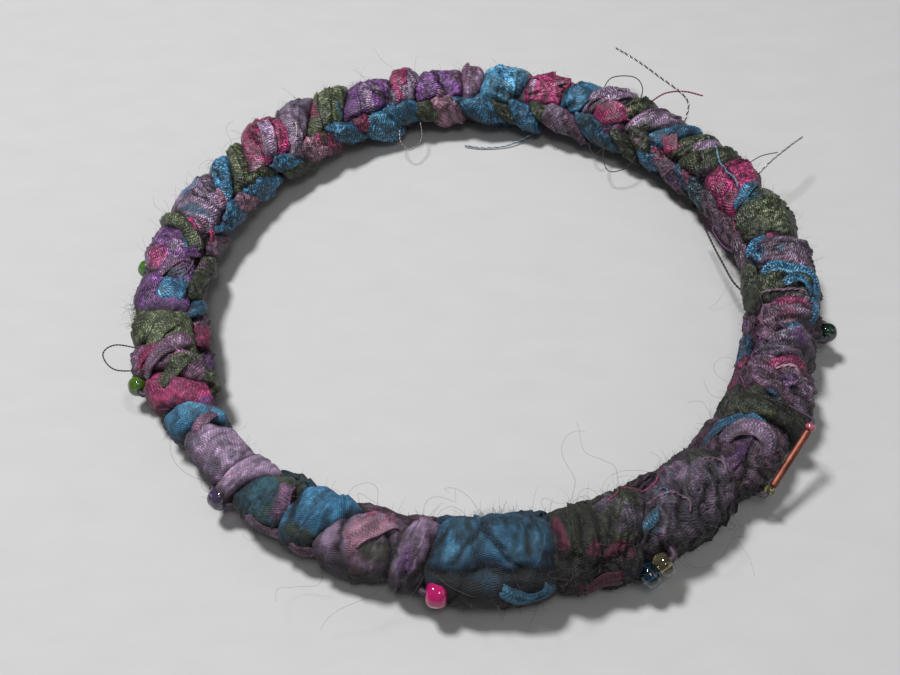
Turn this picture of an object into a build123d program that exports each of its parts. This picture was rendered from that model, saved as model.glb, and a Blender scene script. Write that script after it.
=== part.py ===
"""Ribbon-covered bangle with sewn-on seed beads.

A rigid hoop is covered all round by turns of variegated ribbon yarn. A second, smaller row
of ribbon loops lies along the inner lower edge. Glass seed beads and one slim copper tube
are sewn to the outside, each on a stitch that it can turn on.

Millimetres. The ring axis is +Z and the origin is on that axis, on the surface that the
bangle lies on. Azimuth is measured from +X towards +Y.
"""
from build123d import *
from math import cos, radians, sin
import os

# ---- Driving dimensions ----
RING_RADIUS = 37.0        # ring axis to the middle of the band
HOOP_SECTION = 3.6        # diameter of the hidden hoop's round section
CENTRE_HEIGHT = 3.7       # middle of the hoop above the resting surface
TURN_GAP = 0.06           # between one ribbon turn and the next
SPARE_ANGLE = 9.0         # how far a turn is made past its edges before it is cut
HOOP_GAP = 0.02           # between the hoop and the ribbon round it
TURN_ROUNDING = 0.9       # largest edge rounding of a ribbon turn

LOOP_SECTION = 1.5        # thickness of an inner loop
LOOP_ANGLE = 190.0        # direction of the inner loops round the band: 90 is up, 180 inwards
LOOP_ROUNDING = 0.2
TURN_SHIFT = 0.6          # how far outwards a turn sits where an inner loop lies beside it
THINNEST_BAND_WITH_LOOPS = 3.6

BEAD_RUNNING_GAP = 0.05   # radial, between a bead's hole and its stitch
BEAD_SPACING = 0.1        # along the stitch, beside each bead
BEAD_ROUNDING = 0.42      # outer rounding of a bead, as a share of its length
BEAD_POCKET_GAP = 0.3     # between a bead and the ribbon that it nestles in
STITCH_BEND = 0.5         # bend radius of a stitch where it turns into the ribbon
LOOSE_THREAD = 0.3        # diameter of a loose thread end

# Ribbon turns in order of falling azimuth: colour, azimuth of the first edge, slant of that
# edge as seen from above, and the band's radius there. A turn ends where the next begins.
TURNS = [
    ("blue", 281.0, 5, 4.7),
    ("mauve", 262.5, 10, 4.2),
    ("mauve", 257.0, 5, 3.9),
    ("blue", 247.0, 28, 3.6),
    ("teal", 238.5, 5, 3.3),
    ("mauve", 231.0, 30, 3.3),
    ("mauve", 226.0, 5, 2.9),
    ("blue", 215.5, 15, 3.2),
    ("magenta", 211.0, 32, 3.4),
    ("magenta", 204.0, 34, 3.8),
    ("olive", 197.0, 32, 4.1),
    ("violet", 188.5, 12, 4.0),
    ("violet", 180.5, 28, 4.1),
    ("olive", 170.0, 38, 3.8),
    ("mauve", 165.5, 27, 4.1),
    ("blue", 155.0, 38, 4.2),
    ("olive", 149.5, 40, 3.9),
    ("magenta", 145.0, 36, 4.4),
    ("mauve", 135.0, 25, 4.3),
    ("olive", 127.0, 36, 4.2),
    ("violet", 118.5, 32, 4.0),
    ("mauve", 108.5, 12, 3.9),
    ("violet", 102.5, 15, 3.9),
    ("mauve", 92.5, 6, 3.8),
    ("blue", 88.0, 2, 4.4),
    ("magenta", 78.0, 10, 4.1),
    ("blue", 69.0, 12, 4.1),
    ("mauve", 62.5, 18, 4.3),
    ("olive", 58.0, 32, 4.2),
    ("mauve", 52.0, 18, 4.2),
    ("blue", 46.0, 24, 4.2),
    ("olive", 41.5, 16, 4.2),
    ("mauve", 36.0, 22, 4.2),
    ("magenta", 30.0, 2, 4.6),
    ("olive", 20.5, -28, 4.7),
    ("mauve", 10.0, 2, 4.7),
    ("blue", 0.0, 14, 4.9),
    ("magenta", -7.0, -4, 4.8),
    ("blue", -14.0, -18, 4.8),
    ("magenta", -21.0, -8, 4.7),
    ("olive", -30.0, 8, 4.5),
    ("mauve", -36.0, -24, 4.4),
    ("mauve", -47.0, 10, 4.5),
    ("olive", -64.0, 28, 4.5),
    ("magenta", -72.0, 10, 4.6),
]

# Stitches: azimuth, distance from the ring axis and height of the middle, slope above the
# horizontal, and the beads on it from the high-azimuth end: name, diameter, length, hole.
STITCHES = [
    (226.4, 40.3, 3.4, 0, [("purple_bead", 2.8, 2.1, 0.8)]),
    (263.5, 41.2, 4.2, 0, [("magenta_bead", 2.9, 2.2, 0.8)]),
    (294.7, 42.0, 4.0, 30, [("gold_bead", 2.5, 1.7, 0.8), ("teal_bead", 2.7, 1.8, 0.8)]),
    (321.6, 41.9, 6.0, 24, [
        ("pink_tip_bead", 1.1, 0.7, 0.4),
        ("copper_tube", 0.8, 7.2, 0.4),
        ("gold_tip_bead", 1.2, 0.8, 0.4),
    ]),
    (350.6, 41.6, 4.0, 0, [("dark_green_bead", 2.4, 1.7, 0.7)]),
    (200.0, 41.5, 3.3, 0, [("lime_bead", 2.4, 1.8, 0.7)]),
    (174.0, 41.2, 3.0, 0, [("leaf_green_bead", 2.4, 1.7, 0.7)]),
]

# Loose thread ends, each a bow through three points: azimuth, distance from the ring axis
# and height. The first point, and on a loop the last one too, is inside the ribbon.
LOOSE_ENDS = [
    ((196.6, 39.6, 6.2), (194.9, 44.0, 6.6), (200.6, 39.8, 6.0)),
    ((53.0, 39.6, 6.6), (55.6, 43.4, 7.8), (63.5, 44.6, 8.2)),
    ((52.0, 39.8, 6.0), (49.6, 42.6, 7.2), (46.4, 45.0, 6.6)),
    ((31.0, 39.8, 6.4), (30.0, 43.8, 7.2), (30.6, 49.2, 6.4)),
    ((21.0, 35.0, 5.6), (17.6, 31.9, 5.2), (9.0, 31.4, 5.0)),
    ((57.0, 34.2, 4.2), (51.6, 28.6, 3.0), (48.4, 33.8, 4.4)),
    ((107.0, 33.8, 4.0), (108.6, 29.6, 2.6), (103.2, 33.6, 4.0)),
]


def on_ring(azimuth, distance, height):
    """The point at this azimuth, distance from the ring axis and height."""
    angle = radians(azimuth)
    return Vector(distance * cos(angle), distance * sin(angle), height)


def outward(azimuth):
    return on_ring(azimuth, 1, 0)


def along(azimuth):
    """The ring's direction of rising azimuth."""
    return on_ring(azimuth + 90, 1, 0)


def disc(radius, shift=0.0, lift=0.0):
    """A round section of the band, moved outwards and up from the hoop's middle."""
    return Pos(RING_RADIUS + shift, CENTRE_HEIGHT + lift) * Circle(radius)


def ring_piece(section, high, low):
    """A band section carried round the ring axis between two azimuths."""
    return Rot(Z=low) * revolve(Plane.XZ * section, Axis.Z, high - low)


def edge_plane(azimuth, slant):
    """The upright plane between two turns. Its normal points to rising azimuth."""
    facing = along(azimuth) * cos(radians(slant)) + outward(azimuth) * sin(radians(slant))
    return Plane(origin=on_ring(azimuth, RING_RADIUS, 0), z_dir=facing)


def cut_between(piece, first_edge, last_edge):
    """What lies between two turn edges, half a gap short of each."""
    below_first = split(piece, first_edge.offset(-TURN_GAP / 2), keep=Keep.BOTTOM)
    return split(below_first, last_edge.offset(TURN_GAP / 2), keep=Keep.TOP)


def rounded_ends(piece, radius):
    """Round the rims of the flat ends, which makes a puffed turn."""
    return fillet(piece.faces().filter_by(GeomType.PLANE).edges(), radius)


def hoop():
    return ring_piece(disc(HOOP_SECTION / 2), 360, 0)


def has_inner_loop(turn):
    return turn[3] >= THINNEST_BAND_WITH_LOOPS


def turn_disc(turn):
    """The section of a ribbon turn: smaller and further out where it leaves room for a loop."""
    shift = TURN_SHIFT if has_inner_loop(turn) else 0.0
    return disc(turn[3] - shift, shift)


def inner_loop_disc(turn):
    """The section of the loop that lies against the inside of a turn."""
    reach = turn[3] - TURN_SHIFT + LOOP_SECTION / 2 + HOOP_GAP
    angle = radians(LOOP_ANGLE)
    return disc(LOOP_SECTION / 2, TURN_SHIFT + reach * cos(angle), reach * sin(angle))


def between_edges(section, first, last, rounding):
    """A puffed length of ribbon between the first edges of two turns."""
    high, low = first[1], last[1]
    piece = ring_piece(section, high + SPARE_ANGLE, low - SPARE_ANGLE)
    piece = cut_between(piece, edge_plane(high, first[2]), edge_plane(low, last[2]))
    return rounded_ends(piece, rounding)


def turn_rounding(first, last):
    narrowest = radians(first[1] - last[1]) * (RING_RADIUS - first[3])
    return min(TURN_ROUNDING, narrowest / 5)


def ribbon_turn(first, last, cutters):
    """One turn of ribbon round the hoop, with room for what is sewn through it."""
    piece = between_edges(turn_disc(first), first, last, turn_rounding(first, last))
    high, low = first[1] + SPARE_ANGLE, last[1] - SPARE_ANGLE
    piece -= ring_piece(disc(HOOP_SECTION / 2 + HOOP_GAP), high, low)
    for azimuth, cutter in cutters:
        if low < azimuth < high or low < azimuth - 360 < high:
            piece -= cutter
    return split(piece, Plane.XY, keep=Keep.TOP)


def inner_loop(first, last):
    """The smaller loop of ribbon inside one turn."""
    return between_edges(inner_loop_disc(first), first, last, LOOP_ROUNDING)


def stitch_frame(azimuth, distance, height, slope):
    """The stitch's own plane: X along the stitch to falling azimuth, Y outwards."""
    line = along(azimuth) * -cos(radians(slope)) + Vector(0, 0, -sin(radians(slope)))
    return Plane(on_ring(azimuth, distance, height), x_dir=line, z_dir=line.cross(outward(azimuth)))


def strung_length(beads):
    return sum(bead[2] for bead in beads) + BEAD_SPACING * (len(beads) + 1)


def stitch(frame, distance, beads):
    """A bundle of thread that comes out of the ribbon, runs through its beads and goes back."""
    bead_hole = beads[0][3]
    half = strung_length(beads) / 2 + STITCH_BEND
    leg = distance - RING_RADIUS - HOOP_SECTION / 2 - HOOP_GAP
    corners = [(-half, -leg), (-half, 0), (half, 0), (half, -leg)]
    path = frame * FilletPolyline(*corners, radius=STITCH_BEND)
    section = Plane(path @ 0, z_dir=path % 0) * Circle(bead_hole / 2 - BEAD_RUNNING_GAP)
    return sweep(section, path)


def bead_places(beads):
    """Each bead with the position of its middle along the stitch."""
    position = -strung_length(beads) / 2
    for name, diameter, length, hole in beads:
        position += BEAD_SPACING + length / 2
        yield name, diameter, length, hole, position
        position += length / 2


def bead(frame, diameter, length, hole, position):
    """A drilled bead with rounded shoulders, threaded on the stitch."""
    wall = (diameter - hole) / 2
    outline = Pos(position, hole / 2 + wall / 2) * Rectangle(length, wall)
    shoulders = outline.vertices().sort_by(Axis.Y)[-2:]
    outline = fillet(shoulders, min(BEAD_ROUNDING * length, 0.8 * wall))
    return revolve(frame * outline, Axis(frame.origin, frame.x_dir))


def bead_pocket(frame, diameter, length, position):
    """The room round a bead that the soft ribbon leaves."""
    height = diameter / 2 + BEAD_POCKET_GAP
    outline = Pos(position, height / 2) * Rectangle(length + 2 * BEAD_POCKET_GAP, height)
    return revolve(frame * outline, Axis(frame.origin, frame.x_dir))


def loose_end(points):
    path = ThreePointArc(*[on_ring(*point) for point in points])
    section = Plane(path @ 0, z_dir=path % 0) * Circle(LOOSE_THREAD / 2)
    return sweep(section, path)


def build():
    """Every node of the bangle by name."""
    nodes = {"core_hoop": hoop()}
    cutters = []
    stitches = []
    for azimuth, distance, height, slope, beads in STITCHES:
        frame = stitch_frame(azimuth, distance, height, slope)
        thread = stitch(frame, distance, beads)
        stitches.append(thread)
        cutters.append((azimuth, thread))
        for name, diameter, length, hole, position in bead_places(beads):
            nodes[name] = bead(frame, diameter, length, hole, position)
            cutters.append((azimuth, bead_pocket(frame, diameter, length, position)))
    nodes["bead_stitches"] = Compound(children=stitches)

    threads = [loose_end(points) for points in LOOSE_ENDS]
    nodes["loose_thread_ends"] = Compound(children=threads)
    for points, thread in zip(LOOSE_ENDS, threads):
        cutters.append((points[0][0], thread))

    loops = []
    colour, azimuth, slant, band_radius = TURNS[0]
    closing_edge = (colour, azimuth - 360, slant, band_radius)
    for number, (first, last) in enumerate(zip(TURNS, TURNS[1:] + [closing_edge]), start=1):
        nodes[f"{first[0]}_turn_{number:02d}"] = ribbon_turn(first, last, cutters)
        if has_inner_loop(first):
            loops.append(inner_loop(first, last))
    nodes["inner_loops"] = Compound(children=loops)
    return nodes


os.makedirs("parts", exist_ok=True)
for node_name, shape in build().items():
    export_step(shape, f"parts/{node_name}.step")
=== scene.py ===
"""Looks of the ribbon-covered bangle: crumpled hand-dyed ribbon, threads, glass beads."""
import math
import re

import bpy
import numpy as np
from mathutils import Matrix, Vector


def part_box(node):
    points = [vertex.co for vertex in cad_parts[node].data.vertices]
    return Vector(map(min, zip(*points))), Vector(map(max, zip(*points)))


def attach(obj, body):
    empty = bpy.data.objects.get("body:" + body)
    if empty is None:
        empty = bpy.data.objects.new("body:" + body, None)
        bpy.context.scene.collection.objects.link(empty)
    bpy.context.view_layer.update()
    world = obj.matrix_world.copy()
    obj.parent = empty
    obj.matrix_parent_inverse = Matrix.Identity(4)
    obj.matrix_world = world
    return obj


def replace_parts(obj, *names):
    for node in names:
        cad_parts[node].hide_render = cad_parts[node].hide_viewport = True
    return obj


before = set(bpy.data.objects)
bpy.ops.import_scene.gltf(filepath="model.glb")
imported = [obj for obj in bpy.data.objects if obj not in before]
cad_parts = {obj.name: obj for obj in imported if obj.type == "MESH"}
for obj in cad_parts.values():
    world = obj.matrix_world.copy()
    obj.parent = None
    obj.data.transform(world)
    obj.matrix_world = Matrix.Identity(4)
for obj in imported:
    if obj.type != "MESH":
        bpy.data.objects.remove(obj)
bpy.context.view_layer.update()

MM = 0.001

# ---- The frame's own ring, in millimetres ----
hoop_low, hoop_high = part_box("core_hoop")
CENTRE_HEIGHT = (hoop_low.z + hoop_high.z) / 2 / MM
HOOP_RADIUS = (hoop_high.z - hoop_low.z) / 2 / MM
RING_RADIUS = (hoop_high.x - hoop_low.x) / 2 / MM - HOOP_RADIUS
MM_PER_DEGREE = RING_RADIUS * math.pi / 180
TABLE_CLEARANCE = 0.05
SAG_HEIGHT = 0.6  # cloth lower than this is eased onto the table

# ---- Hand dyes, linear colour ----
DYES = {
    "blue": (0.026, 0.110, 0.200),
    "sky": (0.055, 0.180, 0.290),
    "teal": (0.014, 0.048, 0.068),
    "magenta": (0.205, 0.022, 0.080),
    "pink": (0.245, 0.120, 0.175),
    "mauve": (0.120, 0.062, 0.105),
    "lilac": (0.206, 0.142, 0.222),
    "grey": (0.106, 0.080, 0.122),
    "violet": (0.095, 0.036, 0.130),
    "olive": (0.031, 0.040, 0.019),
    "moss": (0.060, 0.074, 0.038),
    # near black: painted shadow in the front patches and the ring under the turns, and also a deep accent dye
    "dark": (0.012, 0.008, 0.011),
}
# The record has one slot for each family of dyes
FAMILY = {"sky": "blue", "pink": "mauve", "lilac": "mauve", "grey": "mauve", "moss": "olive", "dark": "violet"}

# ---- Noise: each pattern has a seed of its own ----


def lattice(ix, iy, iz, seed):
    """A fixed pseudo-random number from 0 to 1 for each corner of a cube lattice."""
    h = (ix * 374761393 + iy * 668265263 + iz * 1103515245 + seed * 974634777) & 0xFFFFFFFF
    h = ((h ^ (h >> 13)) * 1274126177) & 0xFFFFFFFF
    h = h ^ (h >> 16)
    return h / 0xFFFFFFFF


def noise(x, y, z, seed):
    """Smooth value noise from -1 to 1."""
    x, y, z = np.broadcast_arrays(np.asarray(x, float), np.asarray(y, float), np.asarray(z, float))
    fx, fy, fz = np.floor(x), np.floor(y), np.floor(z)
    ix, iy, iz = fx.astype(np.int64), fy.astype(np.int64), fz.astype(np.int64)
    dx, dy, dz = x - fx, y - fy, z - fz
    dx, dy, dz = (d * d * d * (d * (d * 6 - 15) + 10) for d in (dx, dy, dz))
    total = 0
    for a in (0, 1):
        for b in (0, 1):
            for c in (0, 1):
                weight = (dx if a else 1 - dx) * (dy if b else 1 - dy) * (dz if c else 1 - dz)
                total = total + weight * lattice(ix + a, iy + b, iz + c, seed)
    return total * 2 - 1


def fbm(x, y, z, seed, octaves=3):
    """Noise summed over finer and finer octaves."""
    total, gain, norm = 0, 1.0, 0.0
    for o in range(octaves):
        total = total + gain * noise(x * 2 ** o, y * 2 ** o, z * 2 ** o, seed + 31 * o)
        norm += gain
        gain *= 0.5
    return total / norm


def smooth_step(x, low, high):
    """From 0 below low to 1 above high, easing in and out."""
    t = np.clip((x - low) / (high - low), 0, 1)
    return t * t * (3 - 2 * t)


def window(x, low, full, still_full, high):
    """1 from full to still_full, easing to 0 at low and at high."""
    return smooth_step(x, low, full) * smooth_step(-x, -high, -still_full)


def cos_sin(degrees):
    return np.cos(np.radians(degrees)), np.sin(np.radians(degrees))


def turned(degrees, start):
    """The signed turn from start, within half a turn."""
    return (degrees - start + 180) % 360 - 180


def round_ring(azimuth, azimuths, values):
    """A setting that changes round the ring."""
    return np.interp(np.asarray(azimuth) % 360, azimuths, values)


# ---- Turn edges read from the CAD meshes ----


def turn_facts(node):
    """Both upright end planes and the section radius of a ribbon turn's CAD mesh."""
    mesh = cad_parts[node].data
    normals = np.array([p.normal[:] for p in mesh.polygons])
    centres = np.array([p.center[:] for p in mesh.polygons]) / MM
    areas = np.array([p.area for p in mesh.polygons])
    points = np.array([v.co[:] for v in mesh.vertices]) / MM
    middle = math.atan2(points[:, 1].mean(), points[:, 0].mean())
    tangent = np.array([-math.sin(middle), math.cos(middle), 0])
    facts = {}
    for side, sign in (("high", 1), ("low", -1)):
        upright = (np.abs(normals[:, 2]) < 0.004) & (normals @ tangent * sign > 0.6)
        keys = np.round(np.arctan2(normals[:, 1], normals[:, 0]), 2)
        best = max(set(keys[upright]), key=lambda k: areas[upright & (keys == k)].sum())
        chosen = upright & (keys == best)
        share = areas[chosen][:, None] / areas[chosen].sum()
        normal = (normals[chosen] * share).sum(0)
        normal /= np.linalg.norm(normal)
        offset = (centres[chosen] * share).sum(0) @ normal
        facing = math.atan2(normal[1], normal[0])
        # the plane meets the centreline circle where R cos(azimuth - facing) = offset
        spread = math.acos(max(-1, min(1, offset / RING_RADIUS)))
        options = [facing + spread, facing - spread]
        azimuth = min(options, key=lambda a: abs(math.remainder(a - middle, 2 * math.pi)))
        radial = math.cos(facing - azimuth)
        along = math.sin(facing - azimuth)
        slant = math.atan2(radial, along) if side == "high" else math.atan2(-radial, -along)
        facts[side] = (math.degrees(middle + math.remainder(azimuth - middle, 2 * math.pi)),
                       math.degrees(slant))
    across = np.hypot(np.hypot(points[:, 0], points[:, 1]) - RING_RADIUS,
                      points[:, 2] - CENTRE_HEIGHT)
    facts["radius"] = float(np.percentile(across, 99.5))
    return facts


turn_nodes = sorted((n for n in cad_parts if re.search(r"_turn_\d+$", n)),
                    key=lambda n: int(n[-2:]))
TURNS = [{"node": n, "number": int(n[-2:]), **turn_facts(n)} for n in turn_nodes]
for before, turn in zip([TURNS[-1]] + TURNS[:-1], TURNS):
    azimuth, slant = before["low"]
    turn["first"] = (turn["high"][0] + math.remainder(azimuth - turn["high"][0], 360), slant)
for turn in TURNS:
    turn["last"] = turn["low"]
    turn["middle"] = (turn["first"][0] + turn["last"][0]) / 2
TURN_AZIMUTHS = np.array([t["middle"] for t in TURNS])
order = np.argsort(TURN_AZIMUTHS % 360)
BAND_AZIMUTHS = (TURN_AZIMUTHS % 360)[order]
BAND_RADII = np.array([t["radius"] for t in TURNS])[order]


def band_radius(azimuth):
    """Radius of the band's round section at an azimuth in degrees."""
    return np.interp(np.asarray(azimuth) % 360, BAND_AZIMUTHS, BAND_RADII, period=360)


def on_band(azimuth, around, radius):
    """Points of the band's surface: azimuth, and angle round the section from outside (0) over the top (90)."""
    (ca, sa), (cv, sv) = cos_sin(azimuth), cos_sin(around)
    r = RING_RADIUS + radius * cv
    return np.stack([r * ca, r * sa, CENTRE_HEIGHT + radius * sv], -1)


def above_table(points):
    """Cloth that would go through the table lies flat on it, bulging a little."""
    z = points[..., 2]
    eased = SAG_HEIGHT * np.exp(np.minimum(z - SAG_HEIGHT, 0) / SAG_HEIGHT)
    points[..., 2] = np.where(z < SAG_HEIGHT, np.maximum(TABLE_CLEARANCE, eased), z)
    return points


# ---- Meshes ----
# Azimuths, and how much of the weave's contrast, with its painted weave shade and painted glints, is left
# there: the front is rubbed smooth
CRISP_AZIMUTHS = (0, 60, 170, 192, 214, 235, 282, 294, 320, 345, 360)
CRISPNESS = (1.0, 1.0, 1.0, 0.60, 0.30, 0.20, 0.16, 0.28, 0.45, 0.75, 1.0)


def uv_grid(i_values, j_values):
    return np.stack(np.meshgrid(i_values, j_values, indexing="ij"), -1)


def unit(vectors):
    return vectors / (np.linalg.norm(vectors, axis=1)[:, None] + 1e-12)


def add_piece(name, mesh):
    """An object of a mesh, riding on the bangle."""
    mesh.shade_smooth()
    piece = bpy.data.objects.new(name, mesh)
    bpy.context.scene.collection.objects.link(piece)
    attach(piece, "bangle")
    return piece


def grid_mesh(name, points, uv, colour, wrap_i=True):
    """A piece from an (i, j) grid of points in millimetres that closes round j, with its dyes and painted light
    and shade.

    uv, in millimetres, has one row and one column more than the grid.
    """
    ni, nj = points.shape[:2]
    i, j = np.meshgrid(np.arange(ni if wrap_i else ni - 1), np.arange(nj), indexing="ij")
    i2, j2 = (i + 1) % ni, (j + 1) % nj
    faces = np.stack([i * nj + j, i * nj + j2, i2 * nj + j2, i2 * nj + j], -1).reshape(-1, 4)
    corners = np.stack([uv[i, j], uv[i, j + 1], uv[i + 1, j + 1], uv[i + 1, j]], -2).reshape(-1, 2)
    mesh = bpy.data.meshes.new(name)
    mesh.from_pydata((points.reshape(-1, 3) * MM).tolist(), [], faces.tolist())
    layer = mesh.uv_layers.new(name="ribbon")
    layer.data.foreach_set("uv", corners.astype(np.float32).ravel())
    # the dye colours here carry painted light and shade too
    dye = mesh.color_attributes.new("dye", "FLOAT_COLOR", "POINT")
    rgba = np.empty((ni * nj, 4), np.float32)
    rgba[:, :3] = colour.reshape(-1, 3)
    azimuth = np.degrees(np.arctan2(points[..., 1], points[..., 0])).ravel()
    rgba[:, 3] = round_ring(azimuth, CRISP_AZIMUTHS, CRISPNESS)
    dye.data.foreach_set("color", rgba.ravel())
    return add_piece(name, mesh)


def section_angles(count, squareness):
    """Across-the-ribbon profile of a puff: from one tucked edge over the top to the other."""
    phi = np.radians(np.linspace(-42, 222, count))
    c, s = np.cos(phi), np.sin(phi)
    return np.sign(c) * np.abs(c) ** squareness, np.sign(s) * np.abs(s) ** squareness


def fold_steps(u, v, folds, seed):
    """Overlapping cloth folds: each rises sharply at its line and falls away slowly.

    u runs from -1 to 1 across the turn. A fold is (u at the top, drift per degree, height, run).
    Also gives the painted crease shade at each point, from 0 to 1: how deep it lies in a crease.
    """
    height = np.zeros(np.broadcast(u, v).shape)
    crease_shade = np.zeros(height.shape)
    cv, sv = cos_sin(v)
    for k, (line, drift, rise, run) in enumerate(folds):
        wander = 0.22 * noise(cv * 1.6, sv * 1.6, 7.3 * k, seed + k)
        swing = math.degrees(1) * (sv * math.copysign(1, drift) if abs(drift) > 0.004 else cv)
        d = u - (line + abs(drift) * swing + wander)
        strength = 0.55 + 0.45 * noise(cv * 1.4, sv * 1.4, 3.1 * k, seed + 40 + k)
        step = np.where(d > 0, rise * np.exp(-d / run), -0.35 * rise * np.exp(d / 0.08))
        height = height + strength * step
        crease_shade = np.maximum(crease_shade, np.where(d > 0, 0, np.exp(d / 0.09)) * strength)
    return height, crease_shade


def blend_dye(base, patches, azimuth, around, seed, accent, accent_share):
    """The dye at each point: a base with soft drifts of an accent and placed patches."""
    a, v = np.broadcast_arrays(azimuth, around)
    x, y, z = np.cos(np.radians(v)) * 1.5, np.sin(np.radians(v)) * 1.5, a * 0.35
    colour = np.empty(a.shape + (3,))
    colour[:] = DYES[base]
    drift = fbm(x, y, z, seed, 3)
    share = np.clip((drift - (0.45 - accent_share)) * 3.5, 0, 1)[..., None]
    colour = colour * (1 - share) + np.array(DYES[accent]) * share
    for k, (pa, pv, half_a, half_v, dye, lean) in enumerate(patches):
        da, dv = turned(a, pa) - lean * (v - pv), turned(v, pv)
        reach = np.abs(da / half_a) ** 2 + np.abs(dv / half_v) ** 2
        reach = reach + 0.9 * fbm(x * 2.2, y * 2.2, z * 2.6, seed + 50 + k, 3)
        share = (np.clip((1.35 - reach) * 1.1, 0, 1) ** 1.3 * 0.85)[..., None]
        colour = colour * (1 - share) + np.array(DYES[dye]) * share
    # the dye took unevenly: light and deep streaks along the yarn
    streak = 1 + 0.38 * fbm(a * 2.6, x * 1.2, y * 1.2, seed + 90, 3)
    blotch = smooth_step(fbm(a * 0.8 + 4.1, x * 1.5, y * 1.5, seed + 130, 3), -0.34, 0.16)
    return np.clip(colour * (streak * (0.52 + 0.58 * blotch))[..., None], 0.003, 0.9)


# ---- Ribbon turns ----
# In order of number: base dye, accent dye, how much of it, fold count, fold height in mm, puff height in mm
TURN_LOOKS = [
    ("blue", "teal", 0.1, 3, 0.22, 1.5), ("lilac", "mauve", 0.3, 4, 0.34, 1.3),
    ("lilac", "pink", 0.4, 4, 0.36, 1.3), ("blue", "teal", 0.2, 3, 0.28, 1.2),
    ("teal", "olive", 0.35, 4, 0.32, 1.1), ("lilac", "pink", 0.35, 3, 0.34, 1.2),
    ("lilac", "grey", 0.55, 3, 0.12, 0.9), ("sky", "blue", 0.3, 2, 0.26, 1.2),
    ("magenta", "violet", 0.2, 3, 0.34, 1.2), ("mauve", "magenta", 0.25, 4, 0.34, 1.2),
    ("moss", "olive", 0.45, 6, 0.26, 1.2), ("violet", "blue", 0.12, 3, 0.3, 1.2),
    ("violet", "mauve", 0.3, 6, 0.3, 1.2), ("olive", "moss", 0.2, 4, 0.32, 1.2),
    ("lilac", "grey", 0.4, 3, 0.24, 1.4), ("blue", "sky", 0.3, 3, 0.3, 1.2),
    ("olive", "moss", 0.3, 3, 0.34, 1.2), ("magenta", "pink", 0.1, 3, 0.32, 1.5),
    ("grey", "lilac", 0.45, 4, 0.34, 1.3), ("olive", "moss", 0.3, 4, 0.34, 1.3),
    ("violet", "lilac", 0.35, 4, 0.24, 1.4), ("grey", "lilac", 0.35, 3, 0.34, 1.2),
    ("violet", "mauve", 0.25, 3, 0.24, 1.4), ("mauve", "lilac", 0.35, 2, 0.3, 1.2),
    ("sky", "blue", 0.3, 4, 0.36, 1.8), ("magenta", "pink", 0.12, 3, 0.34, 1.4),
    ("blue", "sky", 0.2, 3, 0.3, 1.3), ("lilac", "mauve", 0.4, 4, 0.3, 1.4),
    ("olive", "dark", 0.25, 4, 0.34, 1.3), ("lilac", "mauve", 0.35, 3, 0.32, 1.3),
    ("blue", "sky", 0.2, 2, 0.34, 1.3), ("olive", "moss", 0.25, 3, 0.34, 1.3),
    ("olive", "grey", 0.3, 5, 0.34, 1.3), ("magenta", "violet", 0.1, 3, 0.3, 1.6),
    ("olive", "moss", 0.35, 6, 0.32, 1.3), ("grey", "mauve", 0.35, 6, 0.34, 1.4),
    ("olive", "blue", 0.2, 3, 0.36, 1.4), ("mauve", "lilac", 0.3, 7, 0.34, 1.4),
    ("grey", "mauve", 0.4, 6, 0.34, 1.4), ("mauve", "lilac", 0.35, 6, 0.34, 1.3),
    ("olive", "dark", 0.25, 5, 0.32, 1.3), ("mauve", "lilac", 0.35, 6, 0.34, 1.3),
    ("grey", "lilac", 0.45, 9, 0.36, 1.2), ("olive", "grey", 0.45, 6, 0.34, 1.3),
    ("olive", "dark", 0.25, 5, 0.34, 1.3),
]
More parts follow.
